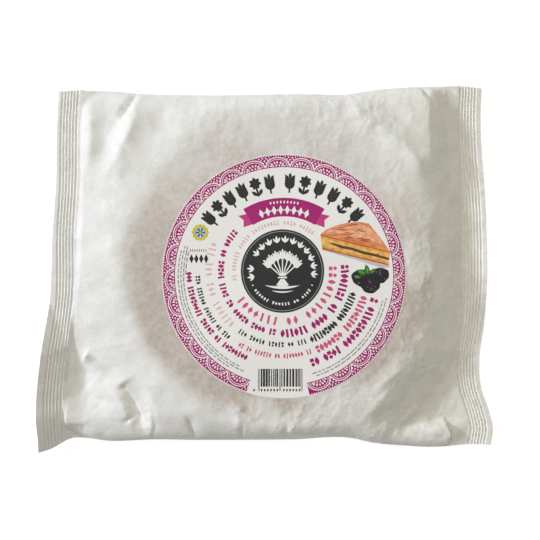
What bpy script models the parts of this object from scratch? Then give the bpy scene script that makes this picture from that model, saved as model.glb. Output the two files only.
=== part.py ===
"""A round butter cake shut in a white paper pack, lying flat, label side up.

The pack is a tube of paper crimped shut at its left and right ends. It can't be seen into, so the paper
and the cake in it are one solid. The round label stuck on its top is the second solid.
Frame: +X to the right end seal, +Y to the back edge, +Z up, with the origin under the middle of the box.
"""

import math

import bmesh
import bpy
import numpy as np
from mathutils import Vector
from mathutils.geometry import delaunay_2d_cdt

# The cake that the paper is stretched over, and where its middle lies under the paper.
CAKE_RADIUS = 0.0885
CAKE_HEIGHT = 0.0165
CAKE_X, CAKE_Y = 0.0070, 0.0025
RIM_RADIUS = CAKE_RADIUS - 0.0030  # where the paper leaves the cake's top
FOOT_RADIUS = CAKE_RADIUS - 0.0060  # where the paper leaves the floor
TOP_SHOULDER, FOOT_SHOULDER = 0.0100, 0.0040  # how far to each side of those circles the paper bends
PAPER_LIFT = 0.0005  # the paper and the air under it, above the cake
TOP_HEIGHT = CAKE_HEIGHT + PAPER_LIFT
TOP_SWELL = 0.00025  # how uneven the cake's top is
SWELL_LENGTHS = (0.075, 0.107, 0.125)
SWELL_START = 1.0

# The end seals: a plain outer margin, then ribs pressed in parallel to the cut edge.
RIB_PITCH = 0.00175
RIB_COUNT = 6
RIB_DEPTH = 0.0007
SEAL_WIDTH = 0.0135
SEAL_THICKNESS = 0.0009
SIDE_THICKNESS = 0.0030  # the blunt fold along the front and back edges
SIDE_RUN = 0.0300  # how far from a seal the fold reaches its full thickness
ROLL_HEIGHT, ROLL_WIDTH = 0.0014, 0.0050  # the paper turns down more steeply there

# The fin seal along the underside, folded flat, which lifts the paper on both sides of it.
FIN_LEFT, FIN_RIGHT = -0.1000, 0.1060
FIN_Y = 0.0040
FIN_WIDTH = 0.0130
FIN_STEP = 0.0006
FIN_CREASE = 0.0008
FIN_RUN = 0.0150

# The label stuck on the top.
LABEL_RADIUS = 0.0685
LABEL_X, LABEL_Y = 0.0095, -0.0041
LABEL_THICKNESS = 0.0004
LABEL_GAP = 0.00042

# The cut edges of the seals seen from above: share of the way from front to back, then X.
LEFT_SEAL = (
    (0.00, -0.1310), (0.07, -0.1299), (0.15, -0.1298), (0.29, -0.1268), (0.42, -0.1234),
    (0.60, -0.1219), (0.72, -0.1203), (0.92, -0.1199), (1.00, -0.1191),
)
RIGHT_SEAL = (
    (0.00, 0.1290), (0.045, 0.1304), (0.09, 0.1284), (0.16, 0.1238), (0.24, 0.1230), (0.34, 0.1258),
    (0.55, 0.1268), (0.72, 0.1255), (0.82, 0.1239), (0.94, 0.1234), (1.00, 0.1240),
)
# The front and back edges seen from above: X, then Y.
FRONT_EDGE = (
    (-0.1313, -0.1053), (-0.1250, -0.1036), (-0.1125, -0.0974), (-0.1030, -0.0972), (-0.0930, -0.0983),
    (-0.0650, -0.0974), (-0.0400, -0.0975), (0.0140, -0.0971), (0.0480, -0.0962), (0.0610, -0.0990), (0.0790, -0.1008),
    (0.1000, -0.1019), (0.1160, -0.1010), (0.1290, -0.1012),
)
BACK_EDGE = (
    (-0.1180, 0.1017), (-0.1040, 0.1025), (-0.0680, 0.0998), (-0.0300, 0.0991), (0.0240, 0.0998),
    (0.0450, 0.0996), (0.0610, 0.1021), (0.0990, 0.1046), (0.1150, 0.1053), (0.1240, 0.1044),
)
# How high the middle of the paper stands above the floor along each edge, by the same measures.
LEFT_HEIGHT = (
    (0.00, 0.0018), (0.05, 0.0046), (0.10, 0.0066), (0.20, 0.0082), (0.34, 0.0092), (0.55, 0.0102),
    (0.80, 0.0094), (1.00, 0.0082),
)
RIGHT_HEIGHT = (
    (0.00, 0.0020), (0.10, 0.0020), (0.28, 0.0026), (0.55, 0.0034), (0.80, 0.0044), (1.00, 0.0054),
)
FRONT_HEIGHT = (
    (-0.1313, 0.0018), (-0.1180, 0.0018), (-0.0950, 0.0022), (-0.0500, 0.0042), (0.0000, 0.0048),
    (0.0400, 0.0058), (0.0800, 0.0042), (0.1160, 0.0020), (0.1290, 0.0018),
)
BACK_HEIGHT = (
    (-0.1180, 0.0050), (-0.0600, 0.0068), (0.0000, 0.0074), (0.0600, 0.0068), (0.1240, 0.0056),
)
# A seal's outer part is bent up (or down) along a line: share, how far in from the cut edge the line runs,
# and how much the paper rises outside it for each metre.
LEFT_BEND = (
    (0.00, 0.0135, 0.28), (0.10, 0.0135, 0.44), (0.27, 0.0135, 0.46), (0.41, 0.0, 0.44), (1.00, 0.0, 0.0),
)
RIGHT_BEND = (
    (0.00, 0.0135, -0.02), (0.10, 0.0135, -0.06), (0.24, 0.0135, -0.22), (0.36, 0.0135, -0.20),
    (0.48, 0.0135, 0.02), (0.80, 0.0135, -0.06), (1.00, 0.0135, -0.16),
)
# The plain margin between the cut edge and the first groove, by the same share.
LEFT_MARGIN = ((0.00, 0.0030), (0.43, 0.0030), (0.60, 0.0020), (1.00, 0.0014))
RIGHT_MARGIN = ((0.00, 0.0030), (0.50, 0.0024), (1.00, 0.0028))

# How the paper runs out from the cake: 1 is straight, more is fuller near the cake.
LONG_SIDE_FULLNESS = 2.3
LEFT_SIDE_FULLNESS, RIGHT_SIDE_FULLNESS = 0.95, 0.78
HIP_SHARPNESS = 10  # how sharply the slopes to two edges meet in a corner
FLANK_POWER = 1.3  # a fold's flanks run out softly
# Over these distances the folds fade out at the front and back edges, at the seals and round the label.
EDGE_FADE, SEAL_FADE = 0.0022, 0.0018
LABEL_FADE = (0.0005, 0.0040)

# The folds: points along each with the height that it adds there (below 0 in a valley), how far its flanks
# reach to the left and to the right of the way that the points run, and how rounded its crest is.
FOLDS = (
    # back left: a ridge beside the seal, a notch and the soft valley from it, a ridge towards the cake
    (((-0.1017, 0.0987, 0.0006), (-0.1003, 0.0855, 0.0023), (-0.1006, 0.0683, 0.0022), (-0.1029, 0.0520, 0.0)),
     0.008, 0.008, 0.0010),
    (((-0.0780, 0.0940, 0.0), (-0.0842, 0.0846, -0.0010), (-0.0892, 0.0777, -0.0013), (-0.0943, 0.0676, -0.0012),
      (-0.0980, 0.0589, 0.0)), 0.010, 0.010, 0.0008),
    (((-0.0735, 0.0970, 0.0006), (-0.0742, 0.0866, 0.0026), (-0.0795, 0.0791, 0.0030), (-0.0845, 0.0687, 0.0024),
      (-0.0905, 0.0563, 0.0)), 0.018, 0.013, 0.0012),
    (((-0.0600, 0.0960, 0.0), (-0.0635, 0.0830, -0.0015), (-0.0700, 0.0680, -0.0015), (-0.0800, 0.0500, 0.0)),
     0.014, 0.014, 0.0060),
    # left: the step up beside the seal
    (((-0.1035, 0.0560, 0.0004), (-0.1042, 0.0300, 0.0015), (-0.1055, 0.0000, 0.0017), (-0.1080, -0.0200, 0.0012),
      (-0.1090, -0.0340, 0.0)), 0.034, 0.0060, 0.0004),
    # front left: a pinch beside the seal, with two legs
    # front left: a long valley down to the edge with a branch, and a ridge on its right
    (((-0.0826, -0.0644, 0.0), (-0.0808, -0.0670, -0.0034), (-0.0757, -0.0755, -0.0052), (-0.0722, -0.0830, -0.0052),
      (-0.0705, -0.0905, -0.0014)), 0.0110, 0.0066, 0.0002),
    # front left: the side drawn in beside the seal, a crest with a drop below it
    (((-0.1210, -0.0890, 0.0050), (-0.1163, -0.0876, 0.0074), (-0.1040, -0.0876, 0.0072), (-0.1000, -0.0890, 0.0050),
      (-0.0950, -0.0930, 0.0)), 0.013, 0.0092, 0.0002),
    # along the front: short creases up from the edge
    # front right: a ridge that leaves the rim straight, the drop behind it, a crease at its top
    (((0.0960, -0.0400, 0.0), (0.0866, -0.0495, 0.0016), (0.0789, -0.0585, 0.0020), (0.0661, -0.0715, 0.0022),
      (0.0585, -0.0800, 0.0020), (0.0498, -0.0895, 0.0004)), 0.009, 0.024, 0.0002),
    (((0.1080, -0.0500, 0.0), (0.1010, -0.0640, -0.0030), (0.0930, -0.0750, -0.0046), (0.0840, -0.0850, -0.0036),
      (0.0720, -0.0930, 0.0)), 0.012, 0.025, 0.0050),
    # front right: the foot of the slope behind the flatter edge, a crease above it and a nick beside the seal
    (((0.0690, -0.0985, 0.0), (0.0707, -0.0947, -0.0016), (0.0731, -0.0905, -0.0028), (0.0829, -0.0880, -0.0034),
      (0.1033, -0.0866, -0.0034), (0.1120, -0.0840, -0.0010)), 0.016, 0.0100, 0.0003),
    # back right: a ridge along the rim, short ones beside it, a nick, and a ridge straight back
    (((0.0470, 0.0970, 0.0), (0.0500, 0.0890, 0.0014), (0.0590, 0.0785, 0.0014), (0.0710, 0.0700, 0.0018),
      (0.0815, 0.0605, 0.0022), (0.0885, 0.0490, 0.0012), (0.0930, 0.0380, 0.0)), 0.022, 0.024, 0.0010),
    (((0.0925, 0.1010, 0.0022), (0.0915, 0.0850, 0.0047), (0.0925, 0.0650, 0.0042), (0.0942, 0.0500, 0.0020),
      (0.0950, 0.0350, 0.0)), 0.011, 0.030, 0.0004),
)
# Where both sheets of the paper sag, in the same form as the folds.
SAGS = (
    (((-0.1075, 0.0050, 0.0), (-0.1086, -0.0200, -0.0008), (-0.1086, -0.0340, -0.0018), (-0.1068, -0.0480, -0.0042),
      (-0.1040, -0.0600, -0.0066), (-0.1022, -0.0740, -0.0066), (-0.1030, -0.0860, -0.0044),
      (-0.1040, -0.0960, -0.0020)), 0.038, 0.0128, 0.0040),
)

# How finely the paper is cut up.
PAPER_STEP = 0.0056
LEVEL_STEP = 0.0170  # under the label and under the cake's foot
UNDER_STEP = 0.0090
LATTICE_DEPTH, LATTICE_WIDTH = 0.11, 0.13
CLEAR_OF_LINES = 0.55  # loose points keep this share of a step from the lines
RIM_LINES = (-0.0070, 0.0, 0.0070)  # lines run round the rim and this far from it
EDGE_LINE = 0.0026  # and this far inside the front and back edges
EDGE_CLEARANCE = 0.0012  # folds stop this far inside the body's edges
LABEL_RINGS = 6
LABEL_SPOKES = 48
SHARP_ANGLE = 25  # degrees

LEAST = 1e-6


def clear_scene():
    for item in list(bpy.data.objects):
        bpy.data.objects.remove(item, do_unlink=True)


def material(name, colour, roughness):
    made = bpy.data.materials.new(name)
    made.use_nodes = True
    shader = made.node_tree.nodes["Principled BSDF"]
    shader.inputs["Base Color"].default_value = (*colour, 1.0)
    shader.inputs["Roughness"].default_value = roughness
    shader.inputs["Metallic"].default_value = 0.0
    return made


def curve_value(points, at):
    """The smooth curve through the points, a cubic with slopes taken from each point's neighbours."""
    places = np.array([p[0] for p in points])
    values = np.array([p[1] for p in points])
    slopes = np.gradient(values, places)
    at = np.clip(np.asarray(at, float), places[0], places[-1])
    left = np.clip(np.searchsorted(places, at, side="right") - 1, 0, len(places) - 2)
    span = places[left + 1] - places[left]
    t = (at - places[left]) / span
    rise = values[left + 1] - values[left]
    start, end = slopes[left] * span, slopes[left + 1] * span
    return values[left] + t * start + t**2 * (3 * rise - 2 * start - end) + t**3 * (start + end - 2 * rise)


def smooth_step(low, high, at):
    t = np.clip((at - low) / (high - low), 0.0, 1.0)
    return t * t * (3 - 2 * t)


def share_back(x, y):
    """Share of the way from the front edge to the back edge."""
    front, back = curve_value(FRONT_EDGE, x), curve_value(BACK_EDGE, x)
    return (y - front) / (back - front)


def from_cake(x, y):
    return np.hypot(x - CAKE_X, y - CAKE_Y)


def from_label(x, y):
    return np.hypot(x - LABEL_X, y - LABEL_Y) - LABEL_RADIUS


def past_rim(x, y, radius, softness):
    """How far outside the circle, growing softly from zero over the width of the cake's rounded shoulder."""
    out = from_cake(x, y) - radius
    soft = np.clip(out + softness, 0.0, 2 * softness) ** 2 / (4 * softness)
    return np.where(out > softness, out, soft)


def edges_of_body(x, y):
    """For the front, back, left and right: distance to that edge, the paper's height there, its fullness."""
    share = share_back(x, y)
    left = curve_value(LEFT_SEAL, share) + SEAL_WIDTH
    right = curve_value(RIGHT_SEAL, share) - SEAL_WIDTH
    return (
        (y - curve_value(FRONT_EDGE, x), curve_value(FRONT_HEIGHT, x), LONG_SIDE_FULLNESS),
        (curve_value(BACK_EDGE, x) - y, curve_value(BACK_HEIGHT, x), LONG_SIDE_FULLNESS),
        (x - left, curve_value(LEFT_HEIGHT, share), LEFT_SIDE_FULLNESS),
        (right - x, curve_value(RIGHT_HEIGHT, share), RIGHT_SIDE_FULLNESS),
    )


def from_edges(x, y):
    """Distance to the nearer of the front and back edges, and to the nearer seal."""
    front, back, left, right = (distance for distance, _, _ in edges_of_body(x, y))
    return np.minimum(front, back), np.minimum(left, right)


def inside_edges(x, y):
    """0 at the seals and along the front and back edges, 1 a little inside them."""
    to_edge, to_seal = from_edges(x, y)
    return smooth_step(0.0, EDGE_FADE, to_edge) * smooth_step(0.0, SEAL_FADE, to_seal)


def stretched(x, y, height, radius, softness, offset):
    """How far paper from a level circle at this height is drawn up or down on its way to the four edges."""
    outside = past_rim(x, y, radius, softness)
    total = np.zeros_like(outside)
    for distance, edge_height, fullness in edges_of_body(x, y):
        way = outside / (outside + np.maximum(distance, LEAST))
        total += (np.abs(height - edge_height - offset) * way**fullness) ** HIP_SHARPNESS
    return total ** (1 / HIP_SHARPNESS)


def fold_relief(x, y, folds):
    """The sum of the folds' heights."""
    relief = np.zeros_like(x)
    for points, left_reach, right_reach, crest_round in folds:
        nearest = np.full_like(x, np.inf)
        height = np.zeros_like(x)
        for (x0, y0, h0), (x1, y1, h1) in zip(points, points[1:]):
            dx, dy = x1 - x0, y1 - y0
            length = math.hypot(dx, dy)
            t = np.clip(((x - x0) * dx + (y - y0) * dy) / length**2, 0.0, 1.0)
            off_x, off_y = x - x0 - t * dx, y - y0 - t * dy
            away = np.hypot(off_x, off_y)
            lean = (dx * off_y - dy * off_x) / (length * np.maximum(away, LEAST))
            reach = right_reach + (left_reach - right_reach) * (0.5 + 0.5 * lean)
            rounded = (np.hypot(away, crest_round) - crest_round) / reach
            here = (h0 + t * (h1 - h0)) * np.clip(1 - rounded, 0.0, 1.0) ** FLANK_POWER
            height = np.where(away < nearest, here, height)
            nearest = np.minimum(nearest, away)
        relief += height
    return relief


def swell(x, y):
    """The cake's top isn't quite level."""
    across, deep, slanting = (2 * math.pi / length for length in SWELL_LENGTHS)
    return TOP_SWELL * (np.sin(across * x + SWELL_START) * np.cos(deep * y) + np.sin(slanting * (x - y)))


def half_thickness(x, y):
    """Half the paper's thickness at the outline: thin at the seals, blunt along the long sides."""
    share = share_back(x, y)
    from_seals = np.minimum(x - curve_value(LEFT_SEAL, share), curve_value(RIGHT_SEAL, share) - x)
    blunt = smooth_step(SEAL_WIDTH, SEAL_WIDTH + SIDE_RUN, from_seals)
    return 0.5 * (SEAL_THICKNESS + (SIDE_THICKNESS - SEAL_THICKNESS) * blunt)


def rolled_edge(x, y):
    """The paper turns down more steeply along the front and back edges, where it is folded round."""
    to_edge, to_seal = from_edges(x, y)
    up = 1 - (1 - np.clip(to_edge / ROLL_WIDTH, 0.0, 1.0)) ** 2
    outside = smooth_step(-TOP_SHOULDER, TOP_SHOULDER, from_cake(x, y) - RIM_RADIUS)
    return ROLL_HEIGHT * up * outside * smooth_step(0.0, SIDE_RUN, to_seal)


def body_top(x, y):
    half = half_thickness(x, y)
    height = TOP_HEIGHT + swell(x, y) - stretched(x, y, TOP_HEIGHT, RIM_RADIUS, TOP_SHOULDER, half)
    folds = fold_relief(x, y, FOLDS) * smooth_step(*LABEL_FADE, from_label(x, y)) + fold_relief(x, y, SAGS)
    height = height + folds * inside_edges(x, y) + rolled_edge(x, y)
    return np.maximum(height, body_under(x, y) + SEAL_THICKNESS)


def body_under(x, y):
    """The underside, with the paper beside the fin seal held off the floor."""
    beside_fin = np.abs(y - FIN_Y) - FIN_WIDTH / 2
    lift = np.where(beside_fin > LEAST, FIN_STEP * (1 - smooth_step(0.0, FIN_RUN, beside_fin)), 0.0)
    rise = stretched(x, y, 0.0, FOOT_RADIUS, FOOT_SHOULDER, -half_thickness(x, y))
    return np.maximum(rise + fold_relief(x, y, SAGS) * inside_edges(x, y), lift)


def ribs(side, share, from_cut_edge):
    """The pressed ribs' height at this distance from the seal's cut edge."""
    turn = (from_cut_edge - seal_margin(side, share)) / RIB_PITCH
    inside = (turn > 0) & (turn < RIB_COUNT)
    return np.where(inside, -0.5 * RIB_DEPTH * (1 - np.cos(2 * math.pi * turn)), 0.0)


def seal_margin(side, share):
    return curve_value(LEFT_MARGIN if side == "left" else RIGHT_MARGIN, share)


def seal_middle(side, share, from_cut_edge):
    """The height of the middle of the paper in the left or right seal."""
    height, bend = (LEFT_HEIGHT, LEFT_BEND) if side == "left" else (RIGHT_HEIGHT, RIGHT_BEND)
    shares, lines, slopes = np.array(bend).T
    outside_bend = np.maximum(np.interp(share, shares, lines) - from_cut_edge, 0.0)
    middle = curve_value(height, share) + np.interp(share, shares, slopes) * outside_bend
    return np.maximum(middle + ribs(side, share, from_cut_edge), SEAL_THICKNESS / 2)


def point_in_seal(side, share, from_cut_edge):
    """X and Y at this distance from the cut edge, this share of the way back."""
    if side == "left":
        x = curve_value(LEFT_SEAL, share) + from_cut_edge
    else:
        x = curve_value(RIGHT_SEAL, share) - from_cut_edge
    front, back = curve_value(FRONT_EDGE, x), curve_value(BACK_EDGE, x)
    return x, front + share * (back - front)


def seal_distances(side, share):
    """Distances from the cut edge: the margin, then a line along each rib and each groove."""
    margin = seal_margin(side, share)
    return [0.0, margin / 2] + [margin + 0.5 * RIB_PITCH * k for k in range(2 * RIB_COUNT)]


def seal_shares():
    count = round((BACK_EDGE[-1][1] - FRONT_EDGE[0][1]) / PAPER_STEP)
    return np.linspace(0.0, 1.0, count + 1)


def stepped(line, step):
    """Points along a line of straight pieces, each piece cut into equal parts no longer than about a step."""
    found = [line[0]]
    for (x0, y0), (x1, y1) in zip(line, line[1:]):
        parts = max(1, round(math.hypot(x1 - x0, y1 - y0) / step))
        found += [(x0 + (x1 - x0) * k / parts, y0 + (y1 - y0) * k / parts) for k in range(1, parts + 1)]
    return found


def inside_body(line):
    """The line's points that lie inside the body, clear of its edges."""
    x, y = np.array(line).T
    kept = np.minimum(*from_edges(x, y)) > EDGE_CLEARANCE
    return [point for point, clear in zip(line, kept) if clear]


def circle(x, y, radius, step):
    count = max(8, round(2 * math.pi * radius / step))
    angles = [2 * math.pi * k / count for k in range(count)]
    return [(x + radius * math.cos(a), y + radius * math.sin(a)) for a in angles]


class Outline:
    """The body's outline, counter-clockwise from its front left corner, with its four stretches."""

    def __init__(self):
        shares = seal_shares()
        right = list(zip(*point_in_seal("right", shares, SEAL_WIDTH)))
        left = list(zip(*point_in_seal("left", shares, SEAL_WIDTH)))[::-1]
        count = round((right[0][0] - left[-1][0]) / PAPER_STEP)
        fronts = np.linspace(left[-1][0], right[0][0], count + 1)[1:-1]
        backs = np.linspace(right[-1][0], left[0][0], count + 1)[1:-1]
        front = list(zip(fronts, curve_value(FRONT_EDGE, fronts)))
        back = list(zip(backs, curve_value(BACK_EDGE, backs)))
        self.points = left[-1:] + front + right + back + left[:-1]
        first_right = 1 + len(front)
        first_back = first_right + len(right)
        first_left = first_back + len(back)
        self.front = range(1, first_right)
        self.right = range(first_right, first_back)
        self.back = range(first_back, first_left)
        self.left = [0, *range(len(self.points) - 1, first_left - 1, -1)]  # front to back, as the right is

    def heights(self, up):
        """Half the paper's thickness above or below its middle."""
        x, y = np.array(self.points).T
        middle = np.where(y < 0, curve_value(FRONT_HEIGHT, x), curve_value(BACK_HEIGHT, x))
        for side, places in (("left", self.left), ("right", list(self.right))):
            middle[places] = seal_middle(side, seal_shares(), SEAL_WIDTH)
        return middle + up * half_thickness(x, y)

    def inner_lines(self):
        """Lines just inside the front and back edges."""
        front, back = (np.array([self.points[k] for k in stretch]) for stretch in (self.front, self.back))
        lines = front[1:-1] + (0.0, EDGE_LINE), back[1:-1] - (0.0, EDGE_LINE)
        return [[tuple(point) for point in line] for line in lines]


def loose_points(step, wanted):
    """A lattice of points over the body, those for which wanted(x, y) holds."""
    row_height = step * math.sqrt(3) / 2
    rows = np.arange(-round(LATTICE_DEPTH / row_height), round(LATTICE_DEPTH / row_height) + 1)
    columns = np.arange(-round(LATTICE_WIDTH / step), round(LATTICE_WIDTH / step) + 1)
    x = ((columns[None, :] + 0.5 * (rows[:, None] % 2)) * step).ravel()
    y = np.repeat(rows * row_height, len(columns))
    kept = (np.minimum(*from_edges(x, y)) > CLEAR_OF_LINES * step) & wanted(x, y)
    return list(zip(x[kept], y[kept]))


def body_plan(outline, closed_lines, open_lines, lattices):
    """The body seen from above, as triangles whose edges run along its outline and along the lines."""
    points = list(outline.points)
    edges = [(k, (k + 1) % len(points)) for k in range(len(points))]
    for line in closed_lines:
        start, count = len(points), len(line)
        points += line
        edges += [(start + k, start + (k + 1) % count) for k in range(count)]
    for line in open_lines:
        start = len(points)
        points += line
        edges += [(start + k, start + k + 1) for k in range(len(line) - 1)]
    fixed = np.array(points)
    for step, wanted in lattices:
        for x, y in loose_points(step, wanted):
            if np.min(np.hypot(fixed[:, 0] - x, fixed[:, 1] - y)) > CLEAR_OF_LINES * step:
                points.append((x, y))
    vectors = [Vector(point) for point in points]
    made, _, triangles, sources, _, _ = delaunay_2d_cdt(vectors, edges, [], 1, LEAST)
    count = len(outline.points)
    outline_at = {source: k for k, found in enumerate(sources) for source in found if source < count}
    return np.array(made), triangles, [outline_at[k] for k in range(count)]


def add_body(mesh, outline, plan, height_at, up):
    """Adds one sheet of the body, and returns its points in the order of the outline."""
    places, triangles, on_outline = plan
    heights = height_at(places[:, 0], places[:, 1])
    heights[on_outline] = outline.heights(up)
    verts = [mesh.verts.new((x, y, z)) for (x, y), z in zip(places, heights)]
    for triangle in triangles:
        mesh.faces.new([verts[k] for k in triangle])
    return [verts[k] for k in on_outline]


def add_seal(mesh, side, inner, up):
    """Adds one sheet of a seal, and returns its rows of points from front to back, cut edge first."""
    rows = []
    for share, inner_vert in zip(seal_shares(), inner):
        row = []
        for distance in seal_distances(side, share):
            x, y = point_in_seal(side, share, distance)
            row.append(mesh.verts.new((x, y, seal_middle(side, share, distance) + up * SEAL_THICKNESS / 2)))
        rows.append(row + [inner_vert])
    for near, far in zip(rows, rows[1:]):
        for k in range(len(near) - 1):
            mesh.faces.new((near[k], near[k + 1], far[k + 1], far[k]))
    return rows


def upper_plan(outline):
    rims = [circle(CAKE_X, CAKE_Y, RIM_RADIUS + out, PAPER_STEP) for out in RIM_LINES]
    round_label = [circle(LABEL_X, LABEL_Y, LABEL_RADIUS + out, PAPER_STEP) for out in LABEL_FADE]
    fold_lines = [inside_body(stepped([point[:2] for point in points], PAPER_STEP)) for points, *_ in FOLDS]
    lattices = (
        (PAPER_STEP, lambda x, y: from_label(x, y) > 0.0),
        (LEVEL_STEP, lambda x, y: from_label(x, y) < -LEVEL_STEP / 2),
    )
    return body_plan(outline, rims + round_label, fold_lines + outline.inner_lines(), lattices)


def under_plan(outline):
    fin_lines = [
        stepped([(FIN_LEFT, FIN_Y + off), (FIN_RIGHT, FIN_Y + off)], UNDER_STEP)
        for side in (-1, 1)
        for off in (side * FIN_WIDTH / 2, side * (FIN_WIDTH / 2 + FIN_CREASE))
    ]
    foot = [circle(CAKE_X, CAKE_Y, FOOT_RADIUS, UNDER_STEP)]
    lattices = (
        (UNDER_STEP, lambda x, y: from_cake(x, y) > FOOT_RADIUS),
        (LEVEL_STEP, lambda x, y: from_cake(x, y) < FOOT_RADIUS),
    )
    return body_plan(outline, foot, fin_lines, lattices)


def pack_mesh():
    outline = Outline()
    mesh = bmesh.new()
    loops = []
    for plan, height_at, up in ((upper_plan(outline), body_top, 1), (under_plan(outline), body_under, -1)):
        loop = add_body(mesh, outline, plan, height_at, up)
        right = add_seal(mesh, "right", [loop[k] for k in outline.right], up)
        left = add_seal(mesh, "left", [loop[k] for k in outline.left], up)
        loops.append(
            left[0]
            + [loop[k] for k in outline.front]
            + right[0][::-1]
            + [row[0] for row in right[1:-1]]
            + right[-1]
            + [loop[k] for k in outline.back]
            + left[-1][::-1]
            + [row[0] for row in left[-2:0:-1]]
        )
    upper, lower = loops
    for k in range(len(upper)):
        after = (k + 1) % len(upper)
        mesh.faces.new((upper[k], lower[k], lower[after], upper[after]))
    bmesh.ops.recalc_face_normals(mesh, faces=mesh.faces)
    return mesh


def label_mesh():
    """A thin disc that follows the top of the pack, held just clear of it."""
    mesh = bmesh.new()
    angles = np.arange(LABEL_SPOKES) * 2 * math.pi / LABEL_SPOKES

    def points_at(radius, above, angles):
        x, y = LABEL_X + radius * np.cos(angles), LABEL_Y + radius * np.sin(angles)
        z = TOP_HEIGHT + swell(x, y) + LABEL_GAP + above
        return [mesh.verts.new(point) for point in zip(x, y, z)]

    def side(above):
        middle = points_at(0.0, above, angles[:1])[0]
        rings = [points_at(LABEL_RADIUS * k / LABEL_RINGS, above, angles) for k in range(1, LABEL_RINGS + 1)]
        for k in range(LABEL_SPOKES):
            after = (k + 1) % LABEL_SPOKES
            mesh.faces.new((middle, rings[0][k], rings[0][after]))
            for inner, outer in zip(rings, rings[1:]):
                mesh.faces.new((inner[k], outer[k], outer[after], inner[after]))
        return rings[-1]

    under, over = side(0.0), side(LABEL_THICKNESS)
    for k in range(LABEL_SPOKES):
        after = (k + 1) % LABEL_SPOKES
        mesh.faces.new((under[k], under[after], over[after], over[k]))
    bmesh.ops.recalc_face_normals(mesh, faces=mesh.faces)
    return mesh


def place(name, mesh, finish):
    data = bpy.data.meshes.new(name)
    mesh.to_mesh(data)
    mesh.free()
    data.materials.append(finish)
    item = bpy.data.objects.new(name, data)
    bpy.context.scene.collection.objects.link(item)
    data.shade_smooth()
    data.set_sharp_from_angle(angle=math.radians(SHARP_ANGLE))
    return item


def main():
    clear_scene()
    wrap = material("white_wrap_paper", (0.80, 0.79, 0.75), 0.62)
    label = material("label_paper", (0.83, 0.81, 0.79), 0.48)
    place("pack", pack_mesh(), wrap)
    place("label", label_mesh(), label)


main()
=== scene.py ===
"""The looks of a round butter cake shut in a white paper pack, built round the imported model.

The paper pack and its label replace their plain solids. Lengths are in metres, and the label's print is
drawn in millimetres round the label's middle. Frame: +X to the right end seal, +Y to the back, +Z up.
"""

import math
import random

import bmesh
import bpy
import numpy as np
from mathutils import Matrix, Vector
from mathutils.geometry import delaunay_2d_cdt
from mathutils.kdtree import KDTree


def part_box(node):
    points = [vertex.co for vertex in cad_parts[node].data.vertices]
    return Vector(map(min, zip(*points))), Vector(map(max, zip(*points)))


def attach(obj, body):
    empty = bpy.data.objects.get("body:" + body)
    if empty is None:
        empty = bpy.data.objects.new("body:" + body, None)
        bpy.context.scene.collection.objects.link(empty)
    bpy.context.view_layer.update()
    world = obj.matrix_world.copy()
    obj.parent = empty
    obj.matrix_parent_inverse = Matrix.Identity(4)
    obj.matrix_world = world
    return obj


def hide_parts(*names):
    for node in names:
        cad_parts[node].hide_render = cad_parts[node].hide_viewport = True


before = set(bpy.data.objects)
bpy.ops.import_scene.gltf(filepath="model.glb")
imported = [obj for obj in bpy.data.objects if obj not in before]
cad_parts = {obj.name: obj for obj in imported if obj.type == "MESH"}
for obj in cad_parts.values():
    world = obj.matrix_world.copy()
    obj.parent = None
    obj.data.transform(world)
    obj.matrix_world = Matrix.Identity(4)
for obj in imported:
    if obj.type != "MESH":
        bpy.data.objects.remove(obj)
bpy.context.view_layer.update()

MM = 0.001
SEED = 29

# The pack's own sizes, as in the solid.
CAKE_RADIUS = 0.0885
CAKE_HEIGHT = 0.0165
CAKE_X, CAKE_Y = 0.0070, 0.0025
RIM_RADIUS = CAKE_RADIUS - 0.0030
FOOT_RADIUS = CAKE_RADIUS - 0.0060
TOP_SHOULDER, FOOT_SHOULDER = 0.0100, 0.0040
PAPER_LIFT = 0.0005
TOP_HEIGHT = CAKE_HEIGHT + PAPER_LIFT
TOP_SWELL = 0.00025
SWELL_LENGTHS = (0.075, 0.107, 0.125)
SWELL_START = 1.0
RIB_PITCH = 0.00175
RIB_COUNT = 6
RIB_DEPTH = 0.0007
SEAL_WIDTH = 0.0135
SIDE_THICKNESS = 0.0030
SIDE_RUN = 0.0300
ROLL_HEIGHT, ROLL_WIDTH = 0.0014, 0.0050
FIN_Y = 0.0040
FIN_WIDTH = 0.0130
FIN_STEP = 0.0006
LONG_SIDE_FULLNESS = 2.3
LEFT_SIDE_FULLNESS, RIGHT_SIDE_FULLNESS = 0.95, 0.78
HIP_SHARPNESS = 10

# The cut edges of the seals seen from above: share of the way from front to back, then X.
LEFT_SEAL = (
    (0.00, -0.1310), (0.07, -0.1299), (0.15, -0.1298), (0.29, -0.1268), (0.42, -0.1234),
    (0.60, -0.1219), (0.72, -0.1203), (0.92, -0.1199), (1.00, -0.1191),
)
RIGHT_SEAL = (
    (0.00, 0.1290), (0.045, 0.1304), (0.09, 0.1284), (0.16, 0.1238), (0.24, 0.1230), (0.34, 0.1258),
    (0.55, 0.1268), (0.72, 0.1255), (0.82, 0.1239), (0.94, 0.1234), (1.00, 0.1240),
)
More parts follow.
